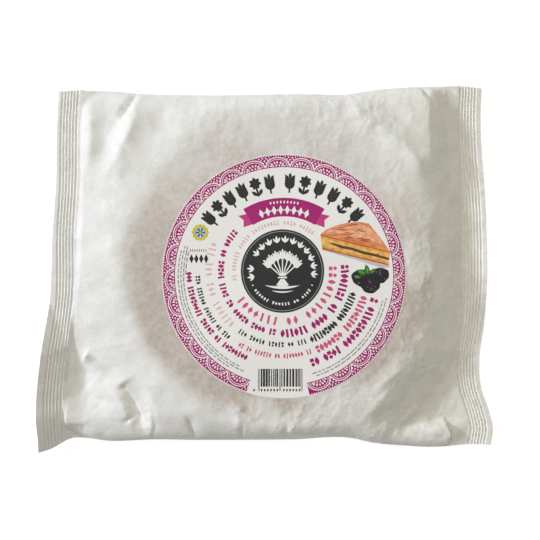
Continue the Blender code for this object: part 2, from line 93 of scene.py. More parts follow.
# The front and back edges seen from above: X, then Y.
FRONT_EDGE = (
    (-0.1313, -0.1053), (-0.1250, -0.1036), (-0.1125, -0.0974), (-0.1030, -0.0972), (-0.0930, -0.0983),
    (-0.0650, -0.0974), (-0.0400, -0.0975), (0.0140, -0.0971), (0.0480, -0.0962), (0.0610, -0.0990),
    (0.0790, -0.1008), (0.1000, -0.1019), (0.1160, -0.1010), (0.1290, -0.1012),
)
BACK_EDGE = (
    (-0.1180, 0.1017), (-0.1040, 0.1025), (-0.0680, 0.0998), (-0.0300, 0.0991), (0.0240, 0.0998),
    (0.0450, 0.0996), (0.0610, 0.1021), (0.0990, 0.1046), (0.1150, 0.1053), (0.1240, 0.1044),
)
# How high the middle of the paper stands above the floor along each edge, by the same measures. Near the
# front the left seal stands up to 3.5 mm higher than in the solid.
LEFT_HEIGHT = (
    (0.00, 0.0018), (0.04, 0.0052), (0.085, 0.0096), (0.13, 0.0094), (0.20, 0.0090), (0.34, 0.0098),
    (0.55, 0.0110), (0.80, 0.0100), (1.00, 0.0084),
)
RIGHT_HEIGHT = (
    (0.00, 0.0020), (0.10, 0.0020), (0.28, 0.0026), (0.55, 0.0034), (0.80, 0.0044), (1.00, 0.0054),
)
FRONT_HEIGHT = (
    (-0.1313, 0.0018), (-0.1180, 0.0018), (-0.0950, 0.0022), (-0.0500, 0.0042), (0.0000, 0.0048),
    (0.0400, 0.0058), (0.0800, 0.0042), (0.1160, 0.0020), (0.1290, 0.0018),
)
BACK_HEIGHT = (
    (-0.1180, 0.0050), (-0.0600, 0.0068), (0.0000, 0.0074), (0.0600, 0.0068), (0.1240, 0.0056),
)
# A seal's outer part is bent up (or down) along a line: share, how far in from the cut edge the line runs,
# and how much the paper rises outside it for each metre.
LEFT_BEND = (
    (0.00, 0.0135, 0.28), (0.10, 0.0135, 0.44), (0.27, 0.0135, 0.46), (0.41, 0.0, 0.44), (1.00, 0.0, 0.0),
)
RIGHT_BEND = (
    (0.00, 0.0135, -0.02), (0.10, 0.0135, -0.06), (0.24, 0.0135, -0.22), (0.36, 0.0135, -0.20),
    (0.48, 0.0135, 0.02), (0.80, 0.0135, -0.06), (1.00, 0.0135, -0.16),
)
# The plain margin between the cut edge and the first groove, by the same share.
LEFT_MARGIN = ((0.00, 0.0030), (0.43, 0.0030), (0.60, 0.0020), (1.00, 0.0014))
RIGHT_MARGIN = ((0.00, 0.0030), (0.50, 0.0024), (1.00, 0.0028))

# What the solid leaves out: the thickness of the two thin sheets, and the paper's rolled edges.
SEAL_THICKNESS = 0.00035
NOSE = 0.0006
NOSE_ROWS = 4
FLANK_POWER = 1.3  # a fold's flanks run out softly
# Over these distances the folds fade out at the front and back edges, at the seals and round the label.
EDGE_FADE, SEAL_FADE = 0.0022, 0.0018
LABEL_FADE = (0.0005, 0.0040)

# The folds: points along each with the height that it adds there (below 0 in a valley), how far its flanks
# reach to the left and to the right of the way that the points run, and how rounded its crest is. A few at
# the left are finer than in the solid.
FOLDS = (
    # back left: a ridge beside the seal, a notch and the soft valley from it, a ridge towards the cake
    (((-0.1017, 0.0987, 0.0006), (-0.1003, 0.0855, 0.0023), (-0.1006, 0.0683, 0.0022),
      (-0.1029, 0.0520, 0.0)), 0.008, 0.008, 0.0010),
    (((-0.0753, 0.0976, -0.0016), (-0.0799, 0.0903, -0.0032), (-0.0842, 0.0846, 0.0)),
     0.0030, 0.0044, 0.0002),
    (((-0.0780, 0.0940, 0.0), (-0.0842, 0.0846, -0.0010), (-0.0892, 0.0777, -0.0013),
      (-0.0943, 0.0676, -0.0012), (-0.0980, 0.0589, 0.0)), 0.010, 0.010, 0.0008),
    (((-0.0735, 0.0970, 0.0006), (-0.0742, 0.0866, 0.0026), (-0.0770, 0.0791, 0.0027),
      (-0.0815, 0.0687, 0.0024), (-0.0880, 0.0575, 0.0014), (-0.0950, 0.0460, 0.0)),
     0.015, 0.0078, 0.0009),
    (((-0.0600, 0.0960, 0.0), (-0.0635, 0.0830, -0.0015), (-0.0700, 0.0680, -0.0015),
      (-0.0800, 0.0500, 0.0)), 0.014, 0.014, 0.0060),
    # left: the step up beside the seal
    (((-0.1035, 0.0560, 0.0004), (-0.1042, 0.0300, 0.0015), (-0.1055, 0.0000, 0.0017),
      (-0.1080, -0.0200, 0.0012), (-0.1090, -0.0340, 0.0)), 0.034, 0.0060, 0.0004),
    # front left: a pinch beside the seal, with two legs
    (((-0.1018, -0.0476, 0.0), (-0.1027, -0.0492, 0.0026), (-0.1060, -0.0545, 0.0)),
     0.0050, 0.0020, 0.0001),
    (((-0.1022, -0.0484, 0.0016), (-0.0985, -0.0524, 0.0014), (-0.0930, -0.0585, 0.0)),
     0.0040, 0.0050, 0.0002),
    # front left: a long valley down to the edge with a branch, and a ridge on its right
    (((-0.0826, -0.0644, 0.0), (-0.0808, -0.0670, -0.0034), (-0.0757, -0.0755, -0.0052),
      (-0.0722, -0.0830, -0.0052), (-0.0705, -0.0905, -0.0014)), 0.0110, 0.0066, 0.0002),
    (((-0.0757, -0.0835, -0.0006), (-0.0790, -0.0862, -0.0014), (-0.0835, -0.0890, 0.0)),
     0.0020, 0.0032, 0.0001),
    (((-0.0672, -0.0775, 0.0), (-0.0655, -0.0830, 0.0010), (-0.0652, -0.0885, 0.0012),
      (-0.0668, -0.0945, 0.0006)), 0.0016, 0.0050, 0.0001),
    # front left: the side drawn in beside the seal, a crest with a drop below it
    (((-0.1165, -0.0900, 0.0010), (-0.1142, -0.0878, 0.0056), (-0.1040, -0.0876, 0.0038),
      (-0.0998, -0.0918, 0.0024), (-0.0955, -0.0965, 0.0008)), 0.016, 0.0080, 0.0002),
    # along the front: short creases up from the edge
    (((-0.0449, -0.0817, 0.0), (-0.0441, -0.0870, -0.0014), (-0.0423, -0.0927, -0.0014)),
     0.006, 0.0016, 0.0001),
    (((-0.0231, -0.0707, 0.0), (-0.0151, -0.0786, 0.0012), (-0.0058, -0.0895, 0.0004)),
     0.004, 0.005, 0.0002),
    (((-0.0217, -0.0772, 0.0), (-0.0159, -0.0837, 0.0010), (-0.0151, -0.0960, 0.0004)),
     0.004, 0.0035, 0.0002),
    (((-0.0140, -0.0850, 0.0), (-0.0143, -0.0905, -0.0014), (-0.0146, -0.0960, -0.0010)),
     0.0020, 0.0035, 0.0001),
    (((-0.0101, -0.0757, 0.0), (-0.0150, -0.0782, 0.0008), (-0.0200, -0.0812, 0.0)),
     0.003, 0.003, 0.0002),
    (((0.0116, -0.0853, 0.0), (0.0108, -0.0900, -0.0012), (0.0102, -0.0950, -0.0008)),
     0.003, 0.003, 0.0002),
    # front right: a ridge that leaves the rim straight, the drop behind it, a crease at its top
    (((0.0960, -0.0400, 0.0), (0.0866, -0.0495, 0.0016), (0.0789, -0.0585, 0.0020),
      (0.0661, -0.0715, 0.0022), (0.0585, -0.0800, 0.0020), (0.0498, -0.0895, 0.0004)),
     0.009, 0.024, 0.0002),
    (((0.1080, -0.0500, 0.0), (0.1010, -0.0640, -0.0030), (0.0930, -0.0750, -0.0046),
      (0.0840, -0.0850, -0.0036), (0.0720, -0.0930, 0.0)), 0.012, 0.025, 0.0050),
    (((0.0862, -0.0440, 0.0), (0.0850, -0.0490, -0.0008), (0.0846, -0.0560, 0.0)),
     0.0016, 0.0016, 0.0001),
    (((0.0800, -0.0515, 0.0), (0.0736, -0.0575, 0.0009), (0.0640, -0.0648, 0.0007),
      (0.0560, -0.0700, 0.0)), 0.004, 0.007, 0.0002),
    # front right: the foot of the slope behind the flatter edge, a crease above it and a nick beside the seal
    (((0.0690, -0.0985, 0.0), (0.0707, -0.0947, -0.0016), (0.0731, -0.0905, -0.0028),
      (0.0829, -0.0880, -0.0034), (0.1033, -0.0866, -0.0034), (0.1120, -0.0840, -0.0010)),
     0.016, 0.0100, 0.0003),
    (((0.0885, -0.0760, 0.0), (0.0850, -0.0796, 0.0009), (0.0796, -0.0852, 0.0010),
      (0.0752, -0.0892, 0.0006), (0.0691, -0.0975, 0.0)), 0.0050, 0.0026, 0.0002),
    (((0.0800, -0.0960, 0.0), (0.0865, -0.0905, 0.0012), (0.0949, -0.0922, 0.0016),
      (0.1022, -0.0890, 0.0006)), 0.0060, 0.0050, 0.0002),
    (((0.1005, -0.0850, 0.0), (0.1025, -0.0896, 0.0028), (0.1044, -0.0942, 0.0030),
      (0.1040, -0.1000, 0.0012)), 0.0020, 0.0110, 0.0001),
    # back right: a ridge along the rim, short ones beside it, a nick, and a ridge straight back
    (((0.0470, 0.0970, 0.0), (0.0500, 0.0890, 0.0008), (0.0590, 0.0785, 0.0008), (0.0710, 0.0700, 0.0010),
      (0.0815, 0.0605, 0.0010), (0.0885, 0.0490, 0.0006), (0.0930, 0.0380, 0.0)), 0.022, 0.024, 0.0010),
    (((0.0482, 0.0960, 0.0), (0.0510, 0.0880, 0.0014), (0.0594, 0.0820, 0.0016), (0.0684, 0.0757, 0.0019),
      (0.0772, 0.0692, 0.0019), (0.0850, 0.0603, 0.0014), (0.0900, 0.0515, 0.0)), 0.0110, 0.0058, 0.0008),
    (((0.0573, 0.0965, 0.0), (0.0578, 0.0910, 0.0007), (0.0584, 0.0871, 0.0)), 0.0020, 0.0020, 0.0001),
    (((0.0888, 0.1036, -0.0016), (0.0905, 0.0995, -0.0016), (0.0950, 0.0955, 0.0)),
     0.0050, 0.0018, 0.0001),
    (((0.0925, 0.1010, 0.0022), (0.0915, 0.0850, 0.0047), (0.0925, 0.0650, 0.0042),
      (0.0942, 0.0500, 0.0020), (0.0950, 0.0350, 0.0)), 0.011, 0.030, 0.0004),
)
# Where both sheets of the paper sag, in the same form as the folds.
SAGS = (
    (((-0.1075, 0.0050, 0.0), (-0.1086, -0.0200, -0.0008), (-0.1086, -0.0340, -0.0018),
      (-0.1068, -0.0480, -0.0042), (-0.1040, -0.0600, -0.0066), (-0.1022, -0.0740, -0.0062),
      (-0.1030, -0.0840, -0.0020), (-0.1040, -0.0920, 0.0)), 0.038, 0.0128, 0.0040),
)

# The small creases that no two packs share, most of them pulled outwards from the cake.
SMALL_FOLDS = 90
SMALL_FIELD = (0.115, 0.098)  # half the width and depth of the field that they start from
SMALL_LENGTHS = (0.010, 0.036)
SMALL_HEIGHTS = (0.00016, 0.00060)
SMALL_REACHES = (0.0030, 0.0085)
SMALL_ROUND = 0.0003
SMALL_STRAY, SMALL_BEND = 0.5, 0.12  # how far they turn from outwards, and how far each point turns from that
SMALL_PROFILE = ((-0.5, 0.0), (0.05, 1.0), (0.5, 0.0))  # place along the crease, share of its height
# The paper's low unevenness everywhere.
WAVES = 26
WAVE_LENGTHS = (0.007, 0.026)
WAVE_HEIGHT = 0.00003
WAVE_RISE = (-0.004, 0.012)  # measured from the rim: here the waves gain their full height
ON_CAKE = 0.35  # on the cake the small creases are this much lower and rarer, and the waves this much lower

# How finely the paper is cut up.
PAPER_STEP = 0.00105
UNDER_STEP = 0.0024
LABEL_STEP = 0.0050  # below the label
LABEL_OVERLAP = 0.0030  # the fine cut runs this far under the label
EDGE_STEP = 0.0016
COLUMNS_PER_RIB = 8
LATTICE_DEPTH, LATTICE_WIDTH = 0.11, 0.13
CLEAR_OF_LINES = 0.6
EDGE_CLEARANCE = 0.0012  # folds stop this far inside the body's edges
LEAST = 1e-6

# The label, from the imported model.
label_low, label_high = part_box("label")
LABEL_X, LABEL_Y = (0.5 * (low + high) for low, high in zip(label_low[:2], label_high[:2]))
LABEL_RADIUS = 0.5 * (label_high[0] - label_low[0])
LABEL_LIFT = 0.00003  # the glue under it
LABEL_THICKNESS = 0.00013
LABEL_DRAPE_STEP = 4.5  # millimetres
PRINT_LEAST = 1e-4  # millimetres


def curve_value(points, at):
    """The smooth curve through the points, a cubic with slopes taken from each point's neighbours."""
    places = np.array([p[0] for p in points])
    values = np.array([p[1] for p in points])
    slopes = np.gradient(values, places)
    at = np.clip(np.asarray(at, float), places[0], places[-1])
    left = np.clip(np.searchsorted(places, at, side="right") - 1, 0, len(places) - 2)
    span = places[left + 1] - places[left]
    t = (at - places[left]) / span
    rise = values[left + 1] - values[left]
    start, end = slopes[left] * span, slopes[left + 1] * span
    return values[left] + t * start + t**2 * (3 * rise - 2 * start - end) + t**3 * (start + end - 2 * rise)


def smooth_step(low, high, at):
    t = np.clip((at - low) / (high - low), 0.0, 1.0)
    return t * t * (3 - 2 * t)


def share_back(x, y):
    """Share of the way from the front edge to the back edge."""
    front, back = curve_value(FRONT_EDGE, x), curve_value(BACK_EDGE, x)
    return (y - front) / (back - front)


def from_cake(x, y):
    return np.hypot(x - CAKE_X, y - CAKE_Y)


def from_label(x, y):
    return np.hypot(x - LABEL_X, y - LABEL_Y) - LABEL_RADIUS


def past_rim(x, y, radius, softness):
    """How far outside the circle, growing softly from zero over the width of the cake's rounded shoulder."""
    out = from_cake(x, y) - radius
    soft = np.clip(out + softness, 0.0, 2 * softness) ** 2 / (4 * softness)
    return np.where(out > softness, out, soft)


def edges_of_body(x, y):
    """For the front, back, left and right: distance to that edge, the paper's height there, its fullness."""
    share = share_back(x, y)
    left = curve_value(LEFT_SEAL, share) + SEAL_WIDTH
    right = curve_value(RIGHT_SEAL, share) - SEAL_WIDTH
    return (
        (y - curve_value(FRONT_EDGE, x), curve_value(FRONT_HEIGHT, x), LONG_SIDE_FULLNESS),
        (curve_value(BACK_EDGE, x) - y, curve_value(BACK_HEIGHT, x), LONG_SIDE_FULLNESS),
        (x - left, curve_value(LEFT_HEIGHT, share), LEFT_SIDE_FULLNESS),
        (right - x, curve_value(RIGHT_HEIGHT, share), RIGHT_SIDE_FULLNESS),
    )


def from_edges(x, y):
    """Distance to the nearer of the front and back edges, and to the nearer seal."""
    front, back, left, right = (distance for distance, _, _ in edges_of_body(x, y))
    return np.minimum(front, back), np.minimum(left, right)


def inside_edges(x, y):
    """0 at the seals and along the front and back edges, 1 a little inside them."""
    to_edge, to_seal = from_edges(x, y)
    return smooth_step(0.0, EDGE_FADE, to_edge) * smooth_step(0.0, SEAL_FADE, to_seal)


def stretched(x, y, height, radius, softness, offset):
    """How far paper from a level circle at this height is drawn up or down on its way to the four edges."""
    outside = past_rim(x, y, radius, softness)
    total = np.zeros_like(outside)
    for distance, edge_height, fullness in edges_of_body(x, y):
        way = outside / (outside + np.maximum(distance, LEAST))
        total += (np.abs(height - edge_height - offset) * way**fullness) ** HIP_SHARPNESS
    return total ** (1 / HIP_SHARPNESS)


def fold_relief(x, y, folds):
    """The sum of the folds' heights."""
    relief = np.zeros_like(x)
    for points, left_reach, right_reach, crest_round in folds:
        nearest = np.full_like(x, np.inf)
        height = np.zeros_like(x)
        for (x0, y0, h0), (x1, y1, h1) in zip(points, points[1:]):
            dx, dy = x1 - x0, y1 - y0
            length = math.hypot(dx, dy)
            t = np.clip(((x - x0) * dx + (y - y0) * dy) / length**2, 0.0, 1.0)
            off_x, off_y = x - x0 - t * dx, y - y0 - t * dy
            away = np.hypot(off_x, off_y)
            lean = (dx * off_y - dy * off_x) / (length * np.maximum(away, LEAST))
            reach = right_reach + (left_reach - right_reach) * (0.5 + 0.5 * lean)
            rounded = (np.hypot(away, crest_round) - crest_round) / reach
            here = (h0 + t * (h1 - h0)) * np.clip(1 - rounded, 0.0, 1.0) ** FLANK_POWER
            height = np.where(away < nearest, here, height)
            nearest = np.minimum(nearest, away)
        relief += height
    return relief


def small_folds():
    """Short creases at random places, most of them running outwards."""
    pick = random.Random(SEED)
    found = []
    while len(found) < SMALL_FOLDS:
        x, y = (pick.uniform(-half, half) for half in SMALL_FIELD)
        outward = math.atan2(y - CAKE_Y, x - CAKE_X) + pick.gauss(0.0, SMALL_STRAY)
        length = pick.uniform(*SMALL_LENGTHS)
        height = pick.uniform(*SMALL_HEIGHTS) * pick.choice((-1, 1))
        on_cake = from_cake(x, y) < RIM_RADIUS
        if on_cake:
            height *= ON_CAKE
        points = []
        for along, share in SMALL_PROFILE:
            turn, away = outward + pick.gauss(0.0, SMALL_BEND), along * length
            points.append((x + away * math.cos(turn), y + away * math.sin(turn), share * height))
        spots = np.array(points)
        clear = np.min(from_edges(spots[:, 0], spots[:, 1])) > EDGE_CLEARANCE
        if clear and pick.random() < (ON_CAKE if on_cake else 1.0):
            reaches = pick.uniform(*SMALL_REACHES), pick.uniform(*SMALL_REACHES)
            found.append((tuple(points), *reaches, SMALL_ROUND))
    return tuple(found)


def waves(x, y):
    """Low waves in all directions, weaker where the paper lies on the cake."""
    pick = random.Random(SEED + 1)
    height = np.zeros_like(x)
    for _ in range(WAVES):
        length, turn, phase = pick.uniform(*WAVE_LENGTHS), pick.uniform(0, math.pi), pick.uniform(0, math.tau)
        along = x * math.cos(turn) + y * math.sin(turn)
        height += length * np.sin(math.tau * along / length + phase)
    height *= WAVE_HEIGHT / WAVE_LENGTHS[0] / 2
    low, high = (RIM_RADIUS + past for past in WAVE_RISE)
    return height * (ON_CAKE + (1 - ON_CAKE) * smooth_step(low, high, from_cake(x, y)))


def swell(x, y):
    """The cake's top isn't quite level."""
    across, deep, slanting = (math.tau / length for length in SWELL_LENGTHS)
    return TOP_SWELL * (np.sin(across * x + SWELL_START) * np.cos(deep * y) + np.sin(slanting * (x - y)))


def half_thickness(x, y):
    """Half the paper's thickness at the outline: thin at the seals, blunt along the long sides."""
    share = share_back(x, y)
    from_seals = np.minimum(x - curve_value(LEFT_SEAL, share), curve_value(RIGHT_SEAL, share) - x)
    blunt = smooth_step(SEAL_WIDTH, SEAL_WIDTH + SIDE_RUN, from_seals)
    return 0.5 * (SEAL_THICKNESS + (SIDE_THICKNESS - SEAL_THICKNESS) * blunt)


def body_top(x, y):
    half = half_thickness(x, y)
    height = TOP_HEIGHT + swell(x, y) - stretched(x, y, TOP_HEIGHT, RIM_RADIUS, TOP_SHOULDER, half)
    relief = fold_relief(x, y, FOLDS + small_folds()) + waves(x, y)
    relief = relief * smooth_step(*LABEL_FADE, from_label(x, y)) + fold_relief(x, y, SAGS)
    height = height + relief * inside_edges(x, y) + rolled_edge(x, y)
    return np.maximum(height, body_under(x, y) + SEAL_THICKNESS)


def rolled_edge(x, y):
    """The paper turns down more steeply along the front and back edges, where it is folded round."""
    to_edge, to_seal = from_edges(x, y)
    up = 1 - (1 - np.clip(to_edge / ROLL_WIDTH, 0.0, 1.0)) ** 2
    outside = smooth_step(-TOP_SHOULDER, TOP_SHOULDER, from_cake(x, y) - RIM_RADIUS)
    return ROLL_HEIGHT * up * outside * smooth_step(0.0, SIDE_RUN, to_seal)


def body_under(x, y):
    """The underside, which lies on its folded fin seal and so just clear of the floor."""
    height = stretched(x, y, 0.0, FOOT_RADIUS, FOOT_SHOULDER, -half_thickness(x, y))
    return np.maximum(height + fold_relief(x, y, SAGS) * inside_edges(x, y), FIN_STEP)


def ribs(side, share, from_cut_edge):
    """The pressed ribs' height at this distance from the seal's cut edge."""
    margin = curve_value(LEFT_MARGIN if side == "left" else RIGHT_MARGIN, share)
    turn = (from_cut_edge - margin) / RIB_PITCH
    inside = (turn > 0) & (turn < RIB_COUNT)
    return np.where(inside, -0.5 * RIB_DEPTH * (1 - np.cos(math.tau * turn)), 0.0)


def seal_middle(side, share, from_cut_edge):
    """The height of the middle of the paper in the left or right seal."""
    height, bend = (LEFT_HEIGHT, LEFT_BEND) if side == "left" else (RIGHT_HEIGHT, RIGHT_BEND)
    shares, lines, slopes = np.array(bend).T
    outside_bend = np.maximum(np.interp(share, shares, lines) - from_cut_edge, 0.0)
    middle = curve_value(height, share) + np.interp(share, shares, slopes) * outside_bend
    return np.maximum(middle + ribs(side, share, from_cut_edge), SEAL_THICKNESS / 2)


def point_in_seal(side, share, from_cut_edge):
    """X and Y at this distance from the cut edge, this share of the way back."""
    if side == "left":
        x = curve_value(LEFT_SEAL, share) + from_cut_edge
    else:
        x = curve_value(RIGHT_SEAL, share) - from_cut_edge
    front, back = curve_value(FRONT_EDGE, x), curve_value(BACK_EDGE, x)
    return x, front + share * (back - front)


def seal_shares():
    count = round((BACK_EDGE[-1][1] - FRONT_EDGE[0][1]) / EDGE_STEP)
    return np.linspace(0.0, 1.0, count + 1)


def stepped(line, step):
    """Points along a line of straight pieces, each piece cut into equal parts no longer than about a step."""
    found = [line[0]]
    for (x0, y0), (x1, y1) in zip(line, line[1:]):
        parts = max(1, round(math.hypot(x1 - x0, y1 - y0) / step))
        found += [(x0 + (x1 - x0) * k / parts, y0 + (y1 - y0) * k / parts) for k in range(1, parts + 1)]
    return found


def inside_body(line):
    """The line's points that lie inside the body, clear of its edges."""
    x, y = np.array(line).T
    kept = np.minimum(*from_edges(x, y)) > EDGE_CLEARANCE
    return [point for point, clear in zip(line, kept) if clear]


def circle(x, y, radius, step):
    count = max(8, round(math.tau * radius / step))
    angles = [math.tau * k / count for k in range(count)]
    return [(x + radius * math.cos(a), y + radius * math.sin(a)) for a in angles]


class Outline:
    """The body's outline, counter-clockwise from its front left corner, with its four stretches."""

    def __init__(self):
        shares = seal_shares()
        right = list(zip(*point_in_seal("right", shares, SEAL_WIDTH)))
        left = list(zip(*point_in_seal("left", shares, SEAL_WIDTH)))[::-1]
        count = round((right[0][0] - left[-1][0]) / EDGE_STEP)
        fronts = np.linspace(left[-1][0], right[0][0], count + 1)[1:-1]
        backs = np.linspace(right[-1][0], left[0][0], count + 1)[1:-1]
        front = list(zip(fronts, curve_value(FRONT_EDGE, fronts)))
        back = list(zip(backs, curve_value(BACK_EDGE, backs)))
        self.points = left[-1:] + front + right + back + left[:-1]
        first_right = 1 + len(front)
        first_back = first_right + len(right)
        first_left = first_back + len(back)
        self.front = range(1, first_right)
        self.right = range(first_right, first_back)
        self.back = range(first_back, first_left)
        self.left = [0, *range(len(self.points) - 1, first_left - 1, -1)]  # front to back, as the right is

    def heights(self, up):
        """Half the paper's thickness above or below its middle."""
        x, y = np.array(self.points).T
        middle = np.where(y < 0, curve_value(FRONT_HEIGHT, x), curve_value(BACK_HEIGHT, x))
        for side, places in (("left", self.left), ("right", list(self.right))):
            middle[places] = seal_middle(side, seal_shares(), SEAL_WIDTH)
        return middle + up * half_thickness(x, y)


def loose_points(step, wanted):
    """A lattice of points over the body, those for which wanted(x, y) holds."""
    row_height = step * math.sqrt(3) / 2
    rows = np.arange(-round(LATTICE_DEPTH / row_height), round(LATTICE_DEPTH / row_height) + 1)
    columns = np.arange(-round(LATTICE_WIDTH / step), round(LATTICE_WIDTH / step) + 1)
    x = ((columns[None, :] + 0.5 * (rows[:, None] % 2)) * step).ravel()
    y = np.repeat(rows * row_height, len(columns))
    kept = (np.minimum(*from_edges(x, y)) > CLEAR_OF_LINES * step) & wanted(x, y)
    return list(zip(x[kept], y[kept]))


def loop_edges(start, count):
    """The edges round a closed line of points."""
    return [(start + k, start + (k + 1) % count) for k in range(count)]


def cut_up(points, edges, rim_count, least):
    """Triangles over the points whose sides keep to the edges, and the places that the rim's points take."""
    vectors = [Vector(point) for point in points]
    made, _, triangles, sources, _, _ = delaunay_2d_cdt(vectors, edges, [], 1, least)
    at = {source: k for k, found in enumerate(sources) for source in found if source < rim_count}
    return np.array(made), triangles, [at[k] for k in range(rim_count)]


def body_plan(outline, closed_lines, open_lines, lattices):
    """The body seen from above, as triangles whose edges run along its outline and along the lines."""
    points, edges = [], []
    for line in (outline.points, *closed_lines):
        edges += loop_edges(len(points), len(line))
        points += line
    for line in open_lines:
        edges += [(len(points) + k, len(points) + k + 1) for k in range(len(line) - 1)]
        points += line
    tree = KDTree(len(points))
    for k, (x, y) in enumerate(points):
        tree.insert((x, y, 0.0), k)
    tree.balance()
    for step, wanted in lattices:
        for x, y in loose_points(step, wanted):
            if tree.find((x, y, 0.0))[2] > CLEAR_OF_LINES * step:
                points.append((x, y))
    return cut_up(points, edges, len(outline.points), LEAST)


SHARP_ANGLE = 50


class Shell:
    """A mesh built up from points and faces."""

    def __init__(self):
        self.points, self.faces, self.inks = [], [], []

    def add(self, x, y, z):
        start = len(self.points)
        self.points += list(zip(np.asarray(x).tolist(), np.asarray(y).tolist(), np.asarray(z).tolist()))
        return list(range(start, len(self.points)))

    def strip(self, near, far, closed=False):
        """Faces between two rows of points."""
        for k in range(len(near) if closed else len(near) - 1):
            after = (k + 1) % len(near)
            self.faces.append((near[k], near[after], far[after], far[k]))

    def build(self, name):
        data = bpy.data.meshes.new(name)
        data.from_pydata(self.points, [], self.faces)
        if self.inks:
            data.polygons.foreach_set("material_index", self.inks)
        mesh = bmesh.new()
        mesh.from_mesh(data)
        bmesh.ops.recalc_face_normals(mesh, faces=mesh.faces)
        mesh.to_mesh(data)
        mesh.free()
        data.shade_smooth()
        data.set_sharp_from_angle(angle=math.radians(SHARP_ANGLE))
        piece = bpy.data.objects.new(name, data)
        bpy.context.scene.collection.objects.link(piece)
        return piece


def add_body(shell, outline, plan, height_at, up):
    """Adds one sheet of the body, and returns its points in the order of the outline."""
    places, triangles, on_outline = plan
    heights = height_at(places[:, 0], places[:, 1])
    heights[on_outline] = outline.heights(up)
    made = shell.add(places[:, 0], places[:, 1], heights)
    shell.faces += [tuple(made[k] for k in triangle) for triangle in triangles]
    return [made[k] for k in on_outline]


def add_seal(shell, side, inner, up):
    """Adds one sheet of a seal, and returns its rows of points from front to back, cut edge first."""
    shares = seal_shares()
    step = RIB_PITCH / COLUMNS_PER_RIB
    distances = np.linspace(0.0, SEAL_WIDTH, round(SEAL_WIDTH / step) + 1)[:-1]
    rows = []
    for share, inner_point in zip(shares, inner):
        x, y = point_in_seal(side, share, distances)
        z = seal_middle(side, share, distances) + up * SEAL_THICKNESS / 2
        rows.append(shell.add(x, y, z) + [inner_point])
    for near, far in zip(rows, rows[1:]):
        shell.strip(near, far)
    return rows


def wrap_shell():
    """The whole paper pack as one closed mesh."""
    outline = Outline()
    fold_lines = [inside_body(stepped([point[:2] for point in points], PAPER_STEP)) for points, *_ in FOLDS]
    upper = body_plan(
        outline,
        [circle(CAKE_X, CAKE_Y, RIM_RADIUS, PAPER_STEP)],
        fold_lines,
        (
            (PAPER_STEP, lambda x, y: from_label(x, y) > -LABEL_OVERLAP),
            (LABEL_STEP, lambda x, y: from_label(x, y) < -LABEL_OVERLAP - LABEL_STEP / 2),
        ),
    )
    under = body_plan(
        outline,
        [circle(CAKE_X, CAKE_Y, FOOT_RADIUS, UNDER_STEP)],
        [],
        ((UNDER_STEP, lambda x, y: np.full(x.shape, True)),),
    )
    shell = Shell()
    loops = []
    for plan, height_at, up in ((upper, body_top, 1), (under, body_under, -1)):
        loop = add_body(shell, outline, plan, height_at, up)
        right = add_seal(shell, "right", [loop[k] for k in outline.right], up)
        left = add_seal(shell, "left", [loop[k] for k in outline.left], up)
        loops.append(
            left[0]
            + [loop[k] for k in outline.front]
            + right[0][::-1]
            + [row[0] for row in right[1:-1]]
            + right[-1]
            + [loop[k] for k in outline.back]
            + left[-1][::-1]
            + [row[0] for row in left[-2:0:-1]]
        )
    add_nose(shell, *loops)
    return shell


def add_nose(shell, upper, lower):
    """Joins the two sheets round the outside with a rounded edge."""
    top, bottom = np.array([shell.points[k] for k in upper]), np.array([shell.points[k] for k in lower])
    along = np.roll(top, -1, axis=0) - np.roll(top, 1, axis=0)
    outward = np.stack([along[:, 1], -along[:, 0]], axis=1)
    outward /= np.maximum(np.hypot(outward[:, 0], outward[:, 1]), LEAST)[:, None]
    bulge = NOSE * (top[:, 2] - bottom[:, 2]) / SIDE_THICKNESS
    rows = [upper]
    for k in range(1, NOSE_ROWS):
        t = k / NOSE_ROWS
        between = top + (bottom - top) * t
        between[:, :2] += outward * (bulge * 4 * t * (1 - t))[:, None]
        rows.append(shell.add(*between.T))
    rows.append(lower)
    for near, far in zip(rows, rows[1:]):
        shell.strip(near, far, closed=True)


def under_surface(x, y):
    """The lowest point of the paper at a place on the body or on a seal."""
    share = share_back(x, y)
    height = body_under(x, y)
    for side, cut_edge, inward in (("left", LEFT_SEAL, 1), ("right", RIGHT_SEAL, -1)):
        distance = (x - curve_value(cut_edge, share)) * inward
        in_seal = seal_middle(side, share, distance) - SEAL_THICKNESS / 2
        height = np.where(distance < SEAL_WIDTH, in_seal, height)
    return height


# The fin seal: how finely it is cut up, its thickness, its pressed ribs, how far it stops short of the cut
# edges, the gaps over and under it, and the waves of its lower sheet: height, turn for each metre, start.
FIN_COLUMNS, FIN_ROWS = 41, 150
FIN_THICKNESS = 0.00046
FIN_RIB_PITCH, FIN_RIB_COUNT, FIN_RIB_DEPTH = 0.0013, 8, 0.00024
FIN_SHORT = 0.0006
FIN_GAP, FLOOR_GAP = 0.00004, 0.00002
FIN_WAVES = ((0.00006, 190.0, 0.0), (0.00005, 410.0, 1.0))


def round_rows(rows):
    """The points round the outside of a sheet that is made of rows."""
    return rows[0] + [row[-1] for row in rows[1:-1]] + rows[-1][::-1] + [row[0] for row in rows[-2:0:-1]]


